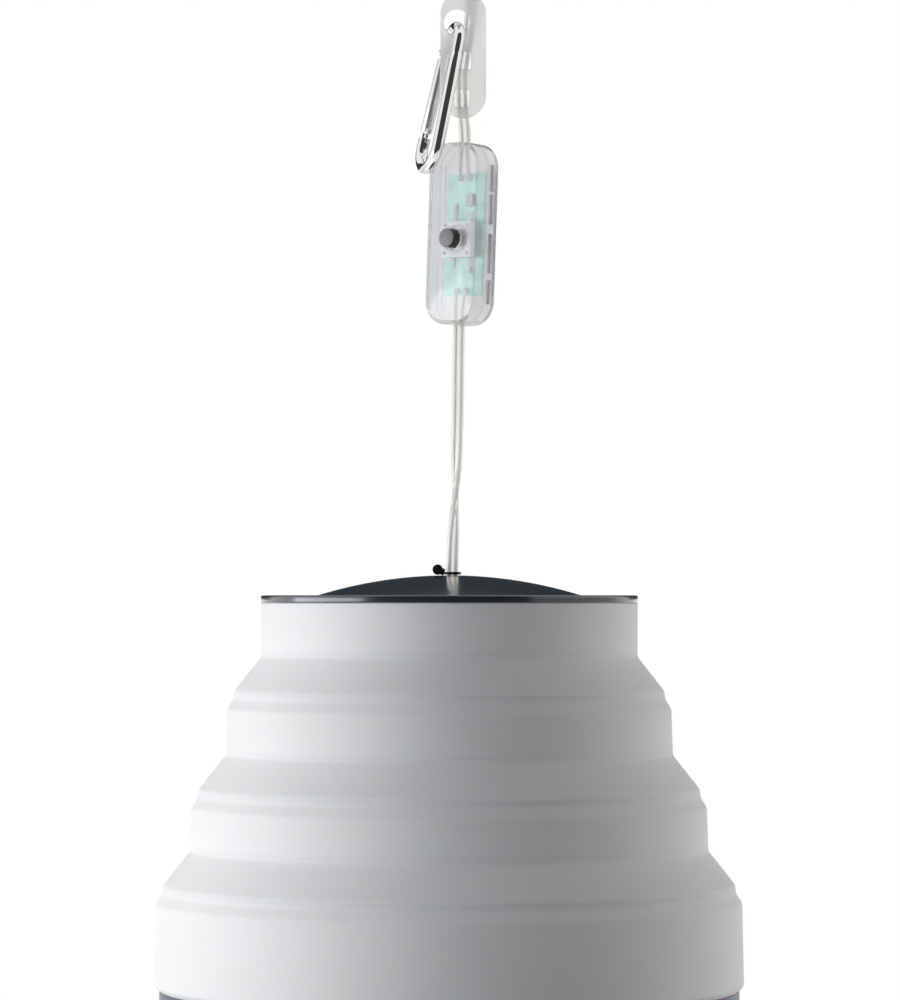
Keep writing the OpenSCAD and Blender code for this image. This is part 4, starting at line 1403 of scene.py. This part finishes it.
def lamp(name, place, size, power, tone):
    """An area lamp that lights the lantern's middle and isn't seen in gloss or clear pieces."""
    light = bpy.data.lights.new(name, "AREA")
    light.shape, light.size, light.size_y = "RECTANGLE", size[0], size[1]
    light.energy, light.color = power, tone
    holder = bpy.data.objects.new(name, light)
    holder.location = place = Vector(place)
    middle = Vector((0, 0, SEAM - 0.06))
    holder.rotation_euler = (middle - place).to_track_quat("-Z", "Z").to_euler()
    holder.visible_glossy = False
    holder.visible_transmission = False
    bpy.context.scene.collection.objects.link(holder)


class LANTERN_OT_stage(Operator):
    """Sets the camera, the white surround, the pale floor, the lamps and the cards"""

    bl_idname = "lantern.stage"
    bl_label = "Stage"

    def execute(self, context):
        scene = context.scene
        scene.view_settings.view_transform = "Standard"
        camera = bpy.data.cameras.new("camera")
        camera.lens, camera.sensor_width, camera.sensor_fit = 159.6, 36.0, "AUTO"
        camera.clip_start, camera.clip_end = 0.05, 60.0
        scene.camera = bpy.data.objects.new("camera", camera)
        scene.camera.location = (0.0002, -1.478, SEAM)
        scene.camera.rotation_euler = (math.radians(91.33), 0, 0)
        scene.collection.objects.link(scene.camera)
        self.surround(scene)
        self.floor()
        lamp("left_strip", (-1.30, -0.25, SEAM - 0.05), (0.5, 1.3), 16.5, (1.0, 0.99, 0.98))
        lamp("front_fill", (-1.18, -0.99, SEAM + 0.1), (0.6, 1.0), 2.1, (0.70, 0.85, 1.0))
        lamp("right_rim", (1.15, 0.36, SEAM - 0.05), (0.5, 1.2), 8.0, (1.0, 0.955, 0.91))
        seam = (0, 0, SEAM)
        card(
            "card_front", (0.0, -1.75, SEAM + 0.5), (4.4, 4.4), (0, 0, SEAM + 0.5),
            0.004, 0.055, (1.0, 0.95, 0.92), "dark_card",
        )
        card(
            "card_back", (0.0, 1.6, SEAM + 0.62), (3.0, 1.25), (0, 0, SEAM + 0.2),
            0.004, 0.045, (0.66, 0.89, 1.0), "dusk_card",
        )
        card(
            "card_left", (-1.28, -0.226, SEAM), (1.3, 0.3), seam,
            0.9, 4.6, (0.93, 0.97, 1.0), "bright_card",
        )
        card(
            "card_right", (1.295, -0.113, SEAM), (1.82, 0.24), seam,
            0.3, 0.45, material="grey_card",
        )
        return {"FINISHED"}

    def surround(self, scene):
        """White where it is seen, straight or in gloss or a clear piece, and dim as light."""
        scene.world = bpy.data.worlds.new("surround")
        scene.world.use_nodes = True
        tree = scene.world.node_tree
        tree.nodes.clear()
        ray = add(tree, "LightPath").outputs
        seen = maths(tree, "MAXIMUM", ray["Is Camera Ray"], ray["Is Transmission Ray"])
        shown = maths(tree, "MAXIMUM", seen, ray["Is Glossy Ray"])
        room = add(tree, "Background", Color=(0.97, 0.985, 1.0, 1), Strength=0.225)
        white = add(tree, "Background", Color=(1, 1, 1, 1), Strength=1.0)
        mix = add(tree, "MixShader")
        for socket, value in zip(mix.inputs, (shown, room.outputs[0], white.outputs[0])):
            feed(tree, socket, value)
        add(tree, "OutputWorld", Surface=mix.outputs[0])

    def floor(self):
        """A pale floor below the lantern, which keeps its shadow."""
        bm = bmesh.new()
        bmesh.ops.create_circle(bm, cap_ends=True, radius=3.2, segments=96)
        bmesh.ops.translate(bm, vec=(0, 0, CAD_BOX[0][2] - 0.45), verts=bm.verts)
        tree, shader = shaded("pale_floor", Roughness=0.7, Emission_Color=(1, 1, 1, 1))
        bounced = add(tree, "LightPath").outputs["Is Diffuse Ray"]
        tone = blended(tree, bounced, rgba((0.86,) * 3), rgba((0.12,) * 3))
        glow = maths(tree, "MULTIPLY_ADD", bounced, -0.45, 0.45)
        fill(tree, shader, Base_Color=tone, Emission_Strength=glow)
        new_piece(bm, "floor", "pale_floor")


# ---- panel and main ----

class LANTERN_OT_materials(Operator):
    """Makes every finish of the lantern"""

    bl_idname = "lantern.materials"
    bl_label = "Materials"

    def execute(self, context):
        make_materials(context)
        return {"FINISHED"}


OPERATORS = [
    LANTERN_OT_stage, LANTERN_OT_materials, LANTERN_OT_shade, LANTERN_OT_folds,
    LANTERN_OT_base_ring, LANTERN_OT_cap, LANTERN_OT_cable_tie, LANTERN_OT_light,
    LANTERN_OT_switch_shells, LANTERN_OT_switch_inside, LANTERN_OT_tab, LANTERN_OT_hook,
    LANTERN_OT_tie, LANTERN_OT_plug, LANTERN_OT_lead,
]


class LANTERN_PT_panel(Panel):
    """Lists the lantern's pieces and its sizes and colours"""

    bl_idname = "LANTERN_PT_panel"
    bl_label = "Lantern"
    bl_space_type = "VIEW_3D"
    bl_region_type = "UI"
    bl_category = "Lantern"

    def draw(self, context):
        column = self.layout.column()
        for operator in OPERATORS:
            column.operator(operator.bl_idname)
        for name, kind in SETTINGS.items():
            box = self.layout.box()
            for key in kind.__annotations__:
                box.prop(getattr(context.scene, name), key)


CLASSES = [*SETTINGS.values(), *OPERATORS, LANTERN_PT_panel]


def register():
    for cls in CLASSES:
        bpy.utils.register_class(cls)
    for name, kind in SETTINGS.items():
        setattr(bpy.types.Scene, name, PointerProperty(type=kind))


def unregister():
    for name in SETTINGS:
        delattr(bpy.types.Scene, name)
    for cls in reversed(CLASSES):
        bpy.utils.unregister_class(cls)


def main():
    register()
    for operator in OPERATORS:
        getattr(bpy.ops.lantern, operator.bl_idname.split(".")[1])()


if __name__ == "__main__":
    main()
